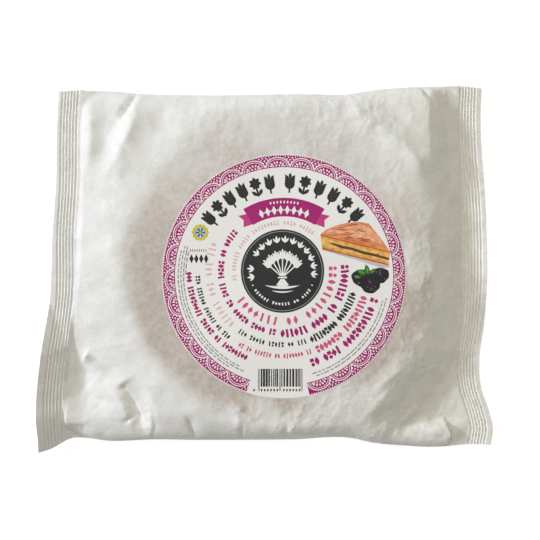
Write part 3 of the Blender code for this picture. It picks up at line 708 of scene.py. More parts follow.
def fin_shell():
    """The lengthwise fin seal, pressed in ribs and folded flat under the pack."""
    shell = Shell()
    columns = np.linspace(-FIN_WIDTH / 2, FIN_WIDTH / 2, FIN_COLUMNS)
    from_fold = columns + FIN_WIDTH / 2
    ribbed = from_fold < FIN_RIB_COUNT * FIN_RIB_PITCH
    pressed = FIN_RIB_DEPTH / 2 * (1 - np.cos(math.tau * from_fold / FIN_RIB_PITCH)) * ribbed
    start = curve_value(LEFT_SEAL, 0.5) + FIN_SHORT
    end = curve_value(RIGHT_SEAL, 0.5) - FIN_SHORT
    sheets = [], []
    for x in np.linspace(start, end, FIN_ROWS):
        across = np.full_like(columns, x)
        top = under_surface(across, FIN_Y + columns) - FIN_GAP
        under = np.maximum(top - FIN_THICKNESS + pressed, FLOOR_GAP)
        shift = sum(height * math.sin(x * turn + begin) for height, turn, begin in FIN_WAVES)
        sheets[0].append(shell.add(across, FIN_Y + columns, top))
        sheets[1].append(shell.add(across, FIN_Y + columns + shift, under))
    for rows in sheets:
        for near, far in zip(rows, rows[1:]):
            shell.strip(near, far)
    shell.strip(*map(round_rows, sheets), closed=True)
    return shell


# The label's print, in millimetres round the label's middle, with angles in degrees from the right.
ROUNDEL = (-0.9, 2.8)
MIDDLE = (0.0, 0.0)


def polar(radius, angle, centre=MIDDLE):
    return (
        centre[0] + radius * math.cos(math.radians(angle)),
        centre[1] + radius * math.sin(math.radians(angle)),
    )


def moved(points, x, y, turn=0.0):
    """A shape drawn round its own middle, turned and set down at x, y."""
    c, s = math.cos(math.radians(turn)), math.sin(math.radians(turn))
    return [(x + px * c - py * s, y + px * s + py * c) for px, py in points]


def disc(x, y, radius, corners=24):
    return [polar(radius, 360 * k / corners, (x, y)) for k in range(corners)]


def band(inner, outer, start, end, centre=MIDDLE, step=3.0):
    """Part of a ring between two angles."""
    count = max(1, round(abs(end - start) / step))
    angles = [start + (end - start) * k / count for k in range(count + 1)]
    return [polar(outer, a, centre) for a in angles] + [polar(inner, a, centre) for a in angles[::-1]]


def grain(length, width):
    """An upright pointed oval."""
    steps = 5
    side = [(width / 2 * math.sin(math.pi * k / steps), length * (k / steps - 0.5)) for k in range(steps)]
    return side + [(-px, -py) for px, py in side]


def lozenge(length, width):
    return [(0, -length / 2), (width / 2, 0), (0, length / 2), (-width / 2, 0)]


def bar(length, width):
    tall, wide = length / 2, width / 2
    return [(-wide, -tall), (wide, -tall), (wide, tall), (-wide, tall)]


def blossom(x, y, radius, petals, turn=0.0):
    """Petals round a middle, as separate grains."""
    found = []
    for k in range(petals):
        angle = turn + 360 * k / petals
        found.append(moved(grain(radius, radius * 0.62), *polar(radius * 0.52, angle, (x, y)), angle - 90))
    return found


EAR_HEIGHT = 11  # an ear as it is drawn


def ear(x, y, height, turn, pairs=4):
    """An ear of wheat standing on its stem, its middle at x, y."""
    size = height / EAR_HEIGHT
    parts = [(0.0, -0.9, 0.0, bar(9.2, 1.05))]
    for k in range(pairs):
        up = -1.7 + 6.2 * k / pairs
        parts += [(side * 1.6, up, -side * 36, grain(4.3, 1.8)) for side in (-1, 1)]
    parts.append((0.0, 4.0, 0.0, grain(3.6, 1.8)))
    shapes = []
    for px, py, lean, shape in parts:
        local = moved(shape, px, py, lean)
        shapes.append(moved([(a * size, b * size) for a, b in local], x, y, turn))
    return shapes


def sprig(x, y, height, turn):
    """A grain between two leaves."""
    leaf = grain(height * 0.72, height * 0.26)
    parts = [moved(leaf, side * height * 0.26, -height * 0.08, -side * 32) for side in (-1, 1)]
    return [moved(part, x, y, turn) for part in (grain(height, height * 0.30), *parts)]


GRAINS, UPRIGHTS, PAIRS = 0.34, 0.64, 0.84  # up to these chances a small mark is a grain, a bar or a pair
MARK_LEAN = 9


def small_mark(chance, height, width):
    """A shape that stands for a letter of the small print, as parts with their places over its middle."""
    if chance < GRAINS:
        return [(0.0, grain(height, width * 1.2))]
    if chance < UPRIGHTS:
        return [(0.0, bar(height, width * 0.68))]
    if chance < PAIRS:
        up = height * 0.26
        return [(-up, bar(height * 0.42, width * 1.1)), (up, grain(height * 0.5, width * 1.1))]
    return [(0.0, lozenge(height, width * 1.25)), (0.0, bar(height * 0.3, width * 1.3))]


def grain_row(ink, centre, radius, start, end, height, width, words, pick):
    """A row of small upright shapes along an arc, in groups, from start to end."""
    pitch = (end - start) / (sum(words) + len(words) - 1)
    found, slot = [], 0.5
    for word in words:
        for _ in range(word):
            angle = start + pitch * slot
            x, y = polar(radius, angle, centre)
            parts = small_mark(pick.random(), height, width)
            lean = pick.uniform(-MARK_LEAN, MARK_LEAN)
            found += [(ink, moved(moved(shape, 0.0, up, lean), x, y, angle - 90)) for up, shape in parts]
            slot += 1
        slot += 1
    return found


# The lace round the label's edge, from one radius to the other, in periods that each hold one arch.
LACE_INNER, LACE_OUTER = 61.2, 67.7
LACE_START, LACE_END = 282.0, 612.0  # the lace leaves a gap for the bars
LACE_PERIODS = 26


def lace(pick):
    """An edging of crochet: double arches over a net of openings, with a beaded outer edge."""
    period = (LACE_END - LACE_START) / LACE_PERIODS
    width = math.radians(period) * LACE_INNER
    depth = LACE_OUTER - LACE_INNER
    found = []

    def place(k, across, out):
        """Across the period and out from the band's inner edge, both in millimetres."""
        return polar(LACE_INNER + out, LACE_START + (k + 0.5 + across / width) * period)

    def opening(k, shape, across, out, turn=0.0):
        found.append(("white", [place(k, px, py) for px, py in moved(shape, across, out, turn)]))

    def arch(k, reach, rise, thick):
        """Half an ellipse that stands on the inner edge, as a line of one thickness."""
        line = [math.radians(4 + 172 * j / 26) for j in range(27)]
        outer = [((reach + thick / 2) * math.cos(a), (rise + thick / 2) * math.sin(a)) for a in line]
        inner = [((reach - thick / 2) * math.cos(a), (rise - thick / 2) * math.sin(a)) for a in line]
        opening(k, outer + inner[::-1], 0.0, 0.1)

    for k in range(LACE_PERIODS):
        found.append(("magenta", [place(k, width * (j / 12 - 0.5), 0.0) for j in range(13)]
                      + [place(k, width * (0.5 - j / 12), depth) for j in range(13)]))
    for k in range(LACE_PERIODS):
        for j in range(11):
            found.append(("magenta", disc(*place(k, width * ((j + 0.5) / 11 - 0.5), depth + 0.15), 0.42, 7)))
        for angle in range(18, 180, 24):
            size = pick.uniform(0.9, 1.12)
            at = polar(3.15, angle + pick.uniform(-3, 3), (0.0, 0.1))
            opening(k, grain(1.8 * size, 0.90 * size), at[0] * 1.25, at[1] * 0.86, angle - 90)
        for across, out, size in ((-1.0, 1.0, 1.2), (0.75, 1.1, 1.35), (-2.5, 0.7, 1.0), (2.4, 0.75, 1.1)):
            opening(k, lozenge(size, 0.9 * size), across, out, pick.uniform(-20, 20))
        arch(k, width * 0.475, 5.55, 0.55)
        arch(k, width * 0.40, 4.50, 0.34)
        for across, out, size in ((0.0, 1.5, 1.0), (-0.85, 3.0, 1.0), (0.85, 3.1, 1.0), (0.0, 4.3, 1.1),
                                  (-1.7, 4.7, 1.0), (1.7, 4.6, 0.95), (-0.9, 5.6, 0.9), (0.9, 5.7, 0.9),
                                  (-2.7, 5.8, 0.8), (2.7, 5.75, 0.8)):
            opening(k, lozenge(size * 1.15, size), width / 2 + across, out, pick.uniform(-25, 25))
    return found


TITLE_RADIUS, TITLE_HEIGHT = 52.4, 11.0
TITLE_ROWS = ((142.5, 8.75), (86.5, 9.3))  # where each row starts, and its pitch
TITLE_ROW = 6


def flower(angle):
    """A blossom on a stem with two leaves, standing in the heading."""
    x, y = polar(TITLE_RADIUS + 2.0, angle)
    shapes = blossom(x, y, 3.6, 7, angle)
    shapes.append(disc(x, y, 1.5, 12))
    shapes.append(moved(bar(5.4, 1.1), *polar(TITLE_RADIUS - 2.8, angle), angle - 90))
    for side in (-1, 1):
        leaf = moved(grain(4.4, 2.1), side * 1.7, -3.5, -side * 38)
        shapes.append(moved(leaf, *polar(TITLE_RADIUS, angle), angle - 90))
    return shapes


def title():
    """Two rows of ears and flowers in place of the large heading."""
    angles = [start - pitch * k for start, pitch in TITLE_ROWS for k in range(TITLE_ROW)]
    found = []
    for k, angle in enumerate(angles):
        shapes = flower(angle) if k % 3 == 1 else ear(*polar(TITLE_RADIUS, angle), TITLE_HEIGHT, angle - 90)
        found += [("black", shape) for shape in shapes]
    return found


def banner():
    """A banner with two tails, and lozenges in place of its words."""
    found = []
    for side in (-1, 1):
        tail = [(-20.7, 34.9), (-25.8, 33.8), (-22.7, 31.3), (-22.7, 27.3), (-16.7, 29.4)]
        found.append(("tail", [(side * px, py) for px, py in tail]))
    found.append(("magenta", band(33.5, 44.0, 121.4, 58.9)))
    for k in range(9):
        found.append(("white", moved(lozenge(1.9, 1.1), *polar(41.6, 100.5 - 2.65 * k), 10.5 - 2.65 * k)))
    for k in range(8):
        angle = 110.0 - 5.7 * k
        found.append(("white", moved(lozenge(5.2, 2.7), *polar(37.2, angle), angle - 90)))
        if k < 7:
            found.append(("white", disc(*polar(37.2, angle - 2.85), 0.42, 8)))
    return found


def badge():
    """A small round badge with a flower in it."""
    x, y = -47.0, 24.4
    edge = [polar(4.6 + 0.3 * math.cos(math.radians(12 * a)), a, (x, y)) for a in range(0, 360, 6)]
    found = [("yellow", edge), ("pale_blue", disc(x, y, 3.0))]
    found += [("deep_blue", petal) for petal in blossom(x, y, 2.7, 6)]
    found += [("white", moved(grain(1.5, 0.7), *polar(1.7, a, (x, y)), a - 90)) for a in range(30, 360, 60)]
    found.append(("yellow", disc(x, y, 0.75, 10)))
    return found


def ribbon(x, y, half, thick):
    """A ribbon that hangs from two ends, its middle at x, y."""
    def edge(k, thickness):
        across = k / 8 - 1
        return x + half * across, y + 1.6 * across**2 * half / 9 + thickness * (1 - across**2)

    return [edge(k, thick) for k in range(16)] + [edge(k, -thick * 0.3) for k in range(16, 0, -1)]


def roundel(pick):
    """The black disc in the middle: a sheaf over two ribbons, with sprigs and small marks round it."""
    x, y = ROUNDEL
    found = [("black", disc(x, y, 23.4, 90))]
    for start in range(0, 360, 90):
        found.append(("grey", band(22.1, 22.45, start, start + 90, ROUNDEL)))
    for k in [0, 1, *range(3, 14)]:
        angle = 191.0 - 15.1 * k
        found += [("white", shape) for shape in sprig(*polar(17.9, angle, ROUNDEL), 4.5, angle - 90)]
    found += grain_row("white", ROUNDEL, 18.5, 213.0, 327.0, 1.8, 1.0, (6, 6, 2, 4), pick)
    for angle in (205.5, 334.5):
        found.append(("white", disc(*polar(18.4, angle, ROUNDEL), 0.45, 8)))
    # a sheaf of wheat, tied in the middle
    tie = (x, y - 3.6)
    for k in range(7):
        lean = -48 + 16 * k
        top = moved([(0.0, 12.4 - 0.03 * abs(lean))], *tie, -lean)[0]
        found.append(("white", moved(bar(9.6, 0.6), *moved([(0.0, 4.7)], *tie, -lean)[0], -lean)))
        found += [("white", shape) for shape in ear(*top, 7.0, -lean, pairs=3)]
    for k in range(9):
        lean = -36 + 9 * k
        found.append(("white", moved(bar(5.6, 0.7), *moved([(0.0, -2.7)], *tie, lean)[0], lean)))
    found.append(("black", moved(bar(1.7, 5.4), *tie)))
    found.append(("white", moved(bar(0.9, 5.0), *tie)))
    found.append(("white", ribbon(x, y - 9.7, 10.0, 1.15)))
    found.append(("white", ribbon(x, y - 12.0, 6.2, 0.65)))
    return found


def rows_of_grain(pick):
    """The rings of small shapes round the roundel, in place of the small print."""
    found = []
    for ink, radius, start, end, height, width, words in (
        ("blush", 27.2, 192.0, 50.0, 2.8, 1.05, (2, 6, 5, 9, 4, 5)),
        ("rose", 28.3, 211.0, 367.0, 4.8, 1.95, (7, 2, 9)),
        ("magenta", 34.6, 139.0, 264.0, 3.7, 1.65, (5, 2, 5, 4, 2, 5, 4, 2)),
        ("magenta", 35.0, 268.0, 366.0, 4.7, 2.1, (6, 4, 2, 8)),
        ("blush", 41.3, 157.0, 228.0, 4.4, 1.2, (3, 3, 3, 6)),
        ("black", 41.3, 233.5, 289.0, 3.0, 1.15, (3, 5, 5, 2, 3)),
        ("black", 41.6, 292.0, 343.0, 4.3, 1.65, (9, 9)),
        ("black", 47.7, 183.0, 231.6, 3.0, 1.15, (3, 6, 6, 2, 3)),
        ("rose", 47.7, 239.0, 290.0, 3.1, 1.1, (2, 2, 6, 2, 7, 2)),
        ("rose", 48.0, 293.0, 343.0, 4.3, 1.95, (7, 9)),
        ("magenta", 52.5, 180.5, 248.0, 3.6, 1.6, (3, 9, 5, 2, 8)),
        ("magenta", 54.0, 286.8, 343.6, 4.8, 2.15, (2, 4, 10, 1)),
    ):
        found += grain_row(ink, ROUNDEL, radius, start, end, height, width, words, pick)
    for radius, start, end in ((55.2, 166.0, 179.0), (56.4, 163.0, 244.0), (57.9, 163.0, 247.0),
                               (59.4, 166.0, 240.0), (57.0, 286.0, 346.0), (58.7, 288.0, 348.0)):
        angle = start
        while angle < end:
            span = pick.uniform(1.0, 3.4)
            found.append(("grey", band(radius - 0.36, radius + 0.36, angle, min(angle + span, end))))
            angle += span + pick.uniform(0.4, 0.9)
    for k in range(8):
        found.append(("grey", moved(grain(2.0, 0.8), -52.6 + 1.25 * k, 14.4)))
    for k in range(4):
        found.append(("black", moved(lozenge(5.2, 2.5), -52.0 + 2.75 * k, 9.7)))
    return found


BARS_LEFT, BARS_RIGHT = -14.6, 10.3
BARS_TOP, BARS_FOOT, GUARDS_FOOT = -52.0, -62.0, -64.4


def bars(pick):
    """Upright bars of mixed widths, with a longer pair at each end and in the middle, and marks below."""
    halves = [[pick.choice((1, 1, 2) if k % 2 == 0 else (2, 3, 3, 4)) for k in range(17)] for _ in range(2)]
    widths = [1, 1, 1, *halves[0], 1, 1, 1, *halves[1], 1, 1, 1]
    guards = {0, 2, 20, 22, len(widths) - 3, len(widths) - 1}
    module = (BARS_RIGHT - BARS_LEFT) / sum(widths)
    x, found = BARS_LEFT, []
    for k, width in enumerate(widths):
        after = x + width * module
        if k % 2 == 0:
            foot = GUARDS_FOOT if k in guards else BARS_FOOT
            found.append(("black", [(x, foot), (after, foot), (after, BARS_TOP), (x, BARS_TOP)]))
        x = after
    half = (BARS_RIGHT - BARS_LEFT) / 2
    for k in range(13):
        across = BARS_LEFT - 2.2 if k == 12 else BARS_LEFT + half * (k // 6) + 2.0 + 1.75 * (k % 6)
        found.append(("black", moved(lozenge(2.0, 1.15), across, BARS_FOOT - 1.9)))
    return found


def slice_of_cake(pick):
    """A slice of the cake with plums and leaves."""
    left_top, left_foot = (20.4, 23.4), (21.4, 15.0)
    tip_top, tip_foot = (59.6, 13.6), (58.4, 6.0)
    behind = [(23.6, 26.0), (29.0, 28.3), (35.5, 29.9), (42.0, 30.4), (47.6, 29.4), (53.8, 21.8)]
    rim = [left_top, *behind, tip_top]

    def between(start, end, share):
        return (start[0] + share * (end[0] - start[0]), start[1] + share * (end[1] - start[1]))

    def on_cut(share, depth):
        """On the cut side: share of the way from left to the tip, depth below the crust."""
        return between(between(left_top, tip_top, share), between(left_foot, tip_foot, share), depth)

    def on_crust(share, depth):
        """On the crust: share of the way from left to the tip, depth behind the cut edge."""
        at = share * (len(rim) - 1)
        k = min(int(at), len(rim) - 2)
        return between(between(left_top, tip_top, share), between(rim[k], rim[k + 1], at - k), depth)

    def streak(ink, place, share, depth, length, thick, sway=0.0):
        """A thin wavy stroke with pointed ends."""
        steps = 5
        spots = []
        for k in range(steps + 1):
            half = thick * math.sin(math.pi * (k + 0.3) / (steps + 0.6))
            spots.append((share + length * (k / steps - 0.5), depth + sway * math.sin(2.4 * k), half))
        upper = [place(along, down - half) for along, down, half in spots]
        lower = [place(along, down + half) for along, down, half in spots]
        found.append((ink, upper + lower[::-1]))

    def streaks(count, inks, place, *ranges):
        """Streaks of mixed inks, with each of their measures drawn from its own range."""
        for _ in range(count):
            ink = pick.choice(inks)
            streak(ink, place, *[pick.uniform(*limits) for limits in ranges])

    found = [
        ("shadow", [(21.0, 14.6), (40.0, 9.2), (56.0, 4.2), (59.2, 5.2), (58.8, 7.4), (40.0, 12.0),
                    (22.0, 16.2)]),
        ("crust", rim),
        ("crumb", [left_top, tip_top, tip_foot, left_foot]),
        ("pale_crust", [on_crust(s, 0.35 + 0.1 * math.sin(9 * s)) for s in (0.12, 0.3, 0.5, 0.7, 0.88)]
         + [on_crust(s, 0.85) for s in (0.86, 0.7, 0.5, 0.3, 0.14)]),
    ]
    streaks(64, ("glaze", "glaze", "glaze", "pale_crust", "rosy_crust", "golden"), on_crust,
            (0.08, 0.9), (0.06, 0.93), (0.07, 0.2), (0.012, 0.036), (-0.03, 0.03))
    for ink, spots in (
        ("golden", ((0, 0), (1, 0), (1, 0.16), (0.7, 0.22), (0.4, 0.15), (0, 0.24))),
        ("glaze", ((0, 0), (1, 0), (1, 0.06), (0.5, 0.09), (0, 0.07))),
        ("golden", ((0, 0.72), (0.3, 0.82), (0.7, 0.76), (1, 0.82), (1, 1), (0, 1))),
        ("glaze", ((0, 0.86), (0.35, 0.93), (0.7, 0.90), (1, 0.93), (1, 1), (0, 1))),
    ):
        found.append((ink, [on_cut(*spot) for spot in spots]))
    streaks(30, ("crumb_light", "golden", "glaze"), on_cut,
            (0.05, 0.95), (0.2, 0.85), (0.02, 0.06), (0.02, 0.045))
    top = [(0.10, 0.47), (0.16, 0.38), (0.30, 0.40), (0.45, 0.36), (0.60, 0.43), (0.78, 0.41), (1.0, 0.46)]
    foot = [(1.0, 0.62), (0.80, 0.60), (0.62, 0.64), (0.46, 0.56), (0.30, 0.60), (0.18, 0.52)]
    found.append(("filling", [on_cut(*spot) for spot in top + foot]))
    plums = ((44.4, -1.0, 6.6, 5.0), (53.6, 0.4, 5.4, 4.4), (48.4, -5.2, 5.6, 4.4))
    for x, y, wide, tall in plums:
        edge = []
        for k in range(24):
            turn = math.tau * k / 24
            out = 1 + 0.05 * math.sin(3 * turn) + 0.03 * math.sin(7 * turn + x)
            edge.append((x + wide * out * math.cos(turn), y + tall * out * math.sin(turn)))
        found.append(("plum", edge))
    for x, y, wide, tall in plums:
        for k in range(7):
            turn, out = pick.uniform(0, math.tau), pick.uniform(0.2, 0.75)
            spot = (x + wide * out * math.cos(turn), y + tall * out * math.sin(turn))
            shine = grain(pick.uniform(0.9, 2.2), 0.55)
            found.append(("plum_shine", moved(shine, *spot, math.degrees(turn) + 90)))
    for x, y, length, turn in (
        (46.6, 3.6, 6.2, 12), (43.4, 2.2, 6.0, 66), (49.8, 2.8, 4.6, -52), (41.2, -0.4, 4.4, 84),
    ):
        found.append(("leaf", moved(grain(length, length * 0.46), x, y, turn)))
        found.append(("pale_leaf", moved(grain(length * 0.7, length * 0.12), x, y, turn)))
    return found


def label_print():
    """The print as (ink, outline), in the order it is laid down."""
    pick = random.Random(SEED + 2)
    shapes = [("white", disc(0.0, 0.0, LABEL_RADIUS / MM, 180))]
    shapes += lace(random.Random(SEED + 3)) + title() + banner() + badge()
    return shapes + rows_of_grain(pick) + roundel(pick) + bars(pick) + slice_of_cake(pick)


def inside(x, y, outline):
    """Which of the places lie inside the outline."""
    odd = np.zeros(x.shape, bool)
    for (x0, y0), (x1, y1) in zip(outline, outline[1:] + outline[:1]):
        if y0 != y1:
            odd ^= ((y0 > y) != (y1 > y)) & (x < x0 + (y - y0) * (x1 - x0) / (y1 - y0))
    return odd


def drape_rings():
    """Points on rings across the label, where it follows the cake's uneven top."""
    rings = int(LABEL_RADIUS / MM / LABEL_DRAPE_STEP)
    radii = [ring * LABEL_DRAPE_STEP for ring in range(1, rings)]
    return [point for radius in radii for point in circle(0.0, 0.0, radius, LABEL_DRAPE_STEP)]


def on_top(places):
    """X, Y and Z of the label's underside, for places in the print's millimetres."""
    x, y = LABEL_X + MM * places[:, 0], LABEL_Y + MM * places[:, 1]
    return x, y, TOP_HEIGHT + swell(x, y) + LABEL_LIFT


def label_shell(inks):
    """The label as a thin closed disc, its top cut along every printed outline."""
    shapes = label_print()
    points, edges = [], []
    for _, outline in shapes:
        edges += loop_edges(len(points), len(outline))
        points += outline
    rim_count = len(shapes[0][1])
    made, triangles, rim = cut_up(points + drape_rings(), edges, rim_count, PRINT_LEAST)
    middle_x, middle_y = made[np.array(triangles)].mean(axis=1).T
    ink_of = np.zeros(len(triangles), int)
    for ink, outline in shapes:
        (low_x, low_y), (high_x, high_y) = np.min(outline, axis=0), np.max(outline, axis=0)
        near_x, near_y = (middle_x > low_x) & (middle_x < high_x), (middle_y > low_y) & (middle_y < high_y)
        near = np.flatnonzero(near_x & near_y)
        ink_of[near[inside(middle_x[near], middle_y[near], outline)]] = inks.index(ink)
    shell = Shell()
    x, y, ground = on_top(made)
    top = shell.add(x, y, ground + LABEL_THICKNESS)
    shell.faces += [tuple(top[k] for k in triangle) for triangle in triangles]
    outer, around = points[:rim_count], loop_edges(0, rim_count)
    made, triangles, under_rim = cut_up(outer + drape_rings(), around, rim_count, PRINT_LEAST)
    under = shell.add(*on_top(made))
    shell.strip([top[k] for k in rim], [under[k] for k in under_rim], closed=True)
    shell.faces += [tuple(under[k] for k in triangle) for triangle in triangles]
    shell.inks = ink_of.tolist() + [inks.index("white")] * (rim_count + len(triangles))
    return shell


class Nodes:
    """A material's nodes, each added with its inputs given as values or as other nodes' outputs."""

    def __init__(self, name):
        self.material = bpy.data.materials.new(name)
        self.material.use_nodes = True
        self.tree = self.material.node_tree
        self.shader = self.tree.nodes["Principled BSDF"]

    def add(self, kind, inputs, **settings):
        made = self.tree.nodes.new("ShaderNode" + kind)
        for key, value in settings.items():
            setattr(made, key, value)
        self.set(made, inputs)
        return made.outputs

    def set(self, node, inputs):
        for key, value in inputs.items():
            if isinstance(value, bpy.types.NodeSocket):
                self.tree.links.new(value, node.inputs[key])
            else:
                node.inputs[key].default_value = value

    def math(self, operation, first, second=0.0):
        return self.add("Math", {0: first, 1: second}, operation=operation)[0]

    def vector(self, operation, first, second=(0.0, 0.0, 0.0)):
        """The outputs of a vector operation: the vector is 0, a length or a product is "Value"."""
        return self.add("VectorMath", {0: first, 1: second}, operation=operation)

    def ramp(self, value, low, high, to_low=0.0, to_high=1.0):
        """The value taken from low..high to to_low..to_high, eased at both ends."""
        inputs = {"Value": value, "From Min": low, "From Max": high, "To Min": to_low, "To Max": to_high}
        return self.add("MapRange", inputs, interpolation_type="SMOOTHSTEP")["Result"]

    def noise(self, place, size, detail=2.0, roughness=0.5):
        """Soft noise with lumps of about this size, in metres."""
        inputs = {"Vector": place, "Scale": 1 / size, "Detail": detail, "Roughness": roughness}
        return self.add("TexNoise", inputs)["Fac"]

    def mixed(self, share, first, second, blend="MIX"):
        made = self.tree.nodes.new("ShaderNodeMix")
        made.data_type, made.blend_type = "RGBA", blend
        self.set(made, {0: share, 6: first, 7: second})
        return made.outputs[2]

    def times(self, first, second):
        """Two colours multiplied."""
        return self.mixed(1.0, first, second, "MULTIPLY")

    def grey(self, value):
        return self.add("CombineColor", {0: value, 1: value, 2: value})[0]


# The noises in the paper: the size of their lumps, detail and roughness.
FINE, CLOUD, GRAIN = (0.0013, 3.0, 0.6), (0.010, 3.0, 0.55), (0.0024, 4.0, 0.7)
FIBRES, RAGGED, PATCHES = (0.0016, 3.0, 0.6), (0.026, 5.0, 0.62), (0.034, 5.0, 0.62)
SPECKS, CRUMPLED = (0.0030, 6.0, 0.75), (0.030, 2.0, 0.5)
# What is made of them: the two ends of the noise's range, and what each end becomes.
FINE_SHADE, CLOUD_SHADE = (0.25, 0.75, 0.955, 1.02), (0.3, 0.7, -0.03, 0.025)
GRAIN_SHADE, PAPER_ROUGHNESS = (0.35, 0.65, -0.022, 0.022), (0.3, 0.7, 0.56, 0.66)
PATCH_SHARE, SPECK_SHARE = (0.0, 0.66, 0.14, 1.0), (0.38, 0.60, 0.76, 1.07)
CRUMPLED_SHARE = (0.35, 0.65, 0.35, 1.0)
# The paper's two cloudy colours, and what it is multiplied by towards the right: X from and to, colour.
PAPER_COLOURS = (0.800, 0.803, 0.778, 1), (0.812, 0.806, 0.788, 1)
PLAIN = (1.0, 1.0, 1.0, 1)
# painted warm shade: the paper is made warmer towards the right, where it lies in shade
RIGHT_PAINTED_WARM_SHADE = (0.030, 0.120), (1.01, 1.01, 0.965, 1)
# painted light: the right seal is made paler and brighter than its shading gives
RIGHT_SEAL_PAINTED_LIGHT = (0.108, 0.117), (1.07, 1.07, 1.09, 1)
PAPER_GLOSS = 0.35
# The turns of the two ways that its fibres lie, and how much longer than wide they are.
FIBRE_TURNS, FIBRE_STRETCH = (0.4, 1.9), 7.0
FIBRE_HEIGHT, FIBRE_STRENGTH = 0.00012, 0.35
# Its fine crumple: the sizes of its facets, the height of the larger ones, how far their edges are bent and
# over what lengths, and how it gains from left to right.
CRUMPLE_SIZES = (0.0090, 0.0042)
CRUMPLE_HEIGHT = 0.00075
CRUMPLE_DRIFT, CRUMPLE_DRIFT_SIZE = 0.010, 0.012
CRUMPLE_ACROSS = (-0.070, 0.030, 0.45, 1.0)
# The warm tint where it touches the cake: its colour, where its edge lies from the cake's own and how ragged
# it is, and how the tint gains towards the front for each metre.
TINT = (0.68, 0.60, 0.555, 1)
TINT_EDGE, TINT_RAGGED = (-0.009, 0.003), 0.018
TINT_LEAN = (-1.1, -4.3, 0.0)
# Where the paper stands off the cake, so that the tint is weak: X, Y and how far round there.
LIFTED = ((0.036, -0.073, 0.026), (0.078, 0.055, 0.024), (0.081, 0.006, 0.021), (-0.004, -0.079, 0.013))
LIFTED_MIDDLE, LIFTED_TINT = 0.2, 0.25


def fibres(nodes, place):
    """Fine paper fibres lying in two directions."""
    found = []
    for turn in FIBRE_TURNS:
        inputs = {"Vector": place, "Rotation": (0.0, 0.0, turn), "Scale": (1.0, FIBRE_STRETCH, 1.0)}
        found.append(nodes.noise(nodes.add("Mapping", inputs)[0], *FIBRES))
    return nodes.math("ADD", *found)


def crumple(nodes, place, across):
    """Facets of two sizes that meet in creases, bent by soft noise."""
    drift = nodes.add("TexNoise", {"Vector": place, "Scale": 1 / CRUMPLE_DRIFT_SIZE, "Detail": 2.0})["Color"]
    bent = nodes.add("VectorMath", {0: drift, "Scale": CRUMPLE_DRIFT}, operation="SCALE")[0]
    spot = nodes.vector("ADD", place, bent)[0]
    large, small = (
        nodes.add("TexVoronoi", {"Vector": spot, "Scale": 1 / size})["Distance"] for size in CRUMPLE_SIZES
    )
    share = nodes.ramp(nodes.noise(place, *CRUMPLED), *CRUMPLED_SHARE)
    share = nodes.math("MULTIPLY", share, nodes.ramp(across, *CRUMPLE_ACROSS))
    small_share = nodes.math("MULTIPLY", small, CRUMPLE_SIZES[1] / CRUMPLE_SIZES[0])
    return nodes.math("MULTIPLY", nodes.math("ADD", large, small_share), share)


def cake_touch(nodes, place):
    """How strongly the buttery cake tints the paper."""
    flat = nodes.vector("MULTIPLY", place, (1.0, 1.0, 0.0))[0]
    offset = nodes.vector("SUBTRACT", flat, (CAKE_X, CAKE_Y, 0.0))[0]
    distance = nodes.vector("LENGTH", offset)["Value"]
    ragged = nodes.math("SUBTRACT", nodes.noise(place, *RAGGED), 0.5)
    ragged = nodes.math("ADD", distance, nodes.math("MULTIPLY", ragged, TINT_RAGGED))
    share = nodes.ramp(ragged, CAKE_RADIUS + TINT_EDGE[0], CAKE_RADIUS + TINT_EDGE[1], 1.0, 0.0)
    for x, y, reach in LIFTED:
        away = nodes.vector("DISTANCE", flat, (x, y, 0.0))["Value"]
        off_cake = nodes.ramp(away, LIFTED_MIDDLE * reach, reach, LIFTED_TINT, 1.0)
        share = nodes.math("MULTIPLY", share, off_cake)
    lean = nodes.vector("DOT_PRODUCT", offset, TINT_LEAN)["Value"]
    patch = nodes.ramp(nodes.math("ADD", nodes.noise(place, *PATCHES), lean), *PATCH_SHARE)
    specks = nodes.ramp(nodes.noise(place, *SPECKS), *SPECK_SHARE)
    return nodes.math("MULTIPLY", nodes.math("MULTIPLY", share, patch), specks)


def wrap_paper():
    """Thin white wrapping paper, matt, cloudy, warmer where it touches the buttery cake, with painted warm
    shade towards the right and painted light on the right seal.
    """
    nodes = Nodes("wrap_paper")
    place = nodes.add("TexCoord", {})["Object"]
    across = nodes.vector("DOT_PRODUCT", place, (1.0, 0.0, 0.0))["Value"]
    fine, cloud, grains = (nodes.noise(place, *kind) for kind in (FINE, CLOUD, GRAIN))
    shade = nodes.math("ADD", nodes.ramp(fine, *FINE_SHADE), nodes.ramp(cloud, *CLOUD_SHADE))
    shade = nodes.math("ADD", shade, nodes.ramp(grains, *GRAIN_SHADE))
    colour = nodes.mixed(nodes.ramp(cloud, *CLOUD_SHADE[:2]), *PAPER_COLOURS)
    # paints warm shade towards the right and painted light on the right seal
    for limits, toward in (RIGHT_PAINTED_WARM_SHADE, RIGHT_SEAL_PAINTED_LIGHT):
        colour = nodes.times(colour, nodes.mixed(nodes.ramp(across, *limits), PLAIN, toward))
    colour = nodes.times(colour, nodes.mixed(cake_touch(nodes, place), PLAIN, TINT))
    colour = nodes.times(colour, nodes.grey(shade))

    height = nodes.math("ADD", nodes.math("MULTIPLY", fibres(nodes, place), 0.5), fine)
    creases = {"Height": crumple(nodes, place, across), "Strength": 1.0, "Distance": CRUMPLE_HEIGHT}
    creased = nodes.add("Bump", creases)[0]
    bump = {"Height": height, "Strength": FIBRE_STRENGTH, "Distance": FIBRE_HEIGHT, "Normal": creased}
    nodes.set(nodes.shader, {
        "Base Color": colour,
        "Normal": nodes.add("Bump", bump)[0],
        "Roughness": nodes.ramp(fine, *PAPER_ROUGHNESS),
        "Specular IOR Level": PAPER_GLOSS,
    })
    return nodes.material


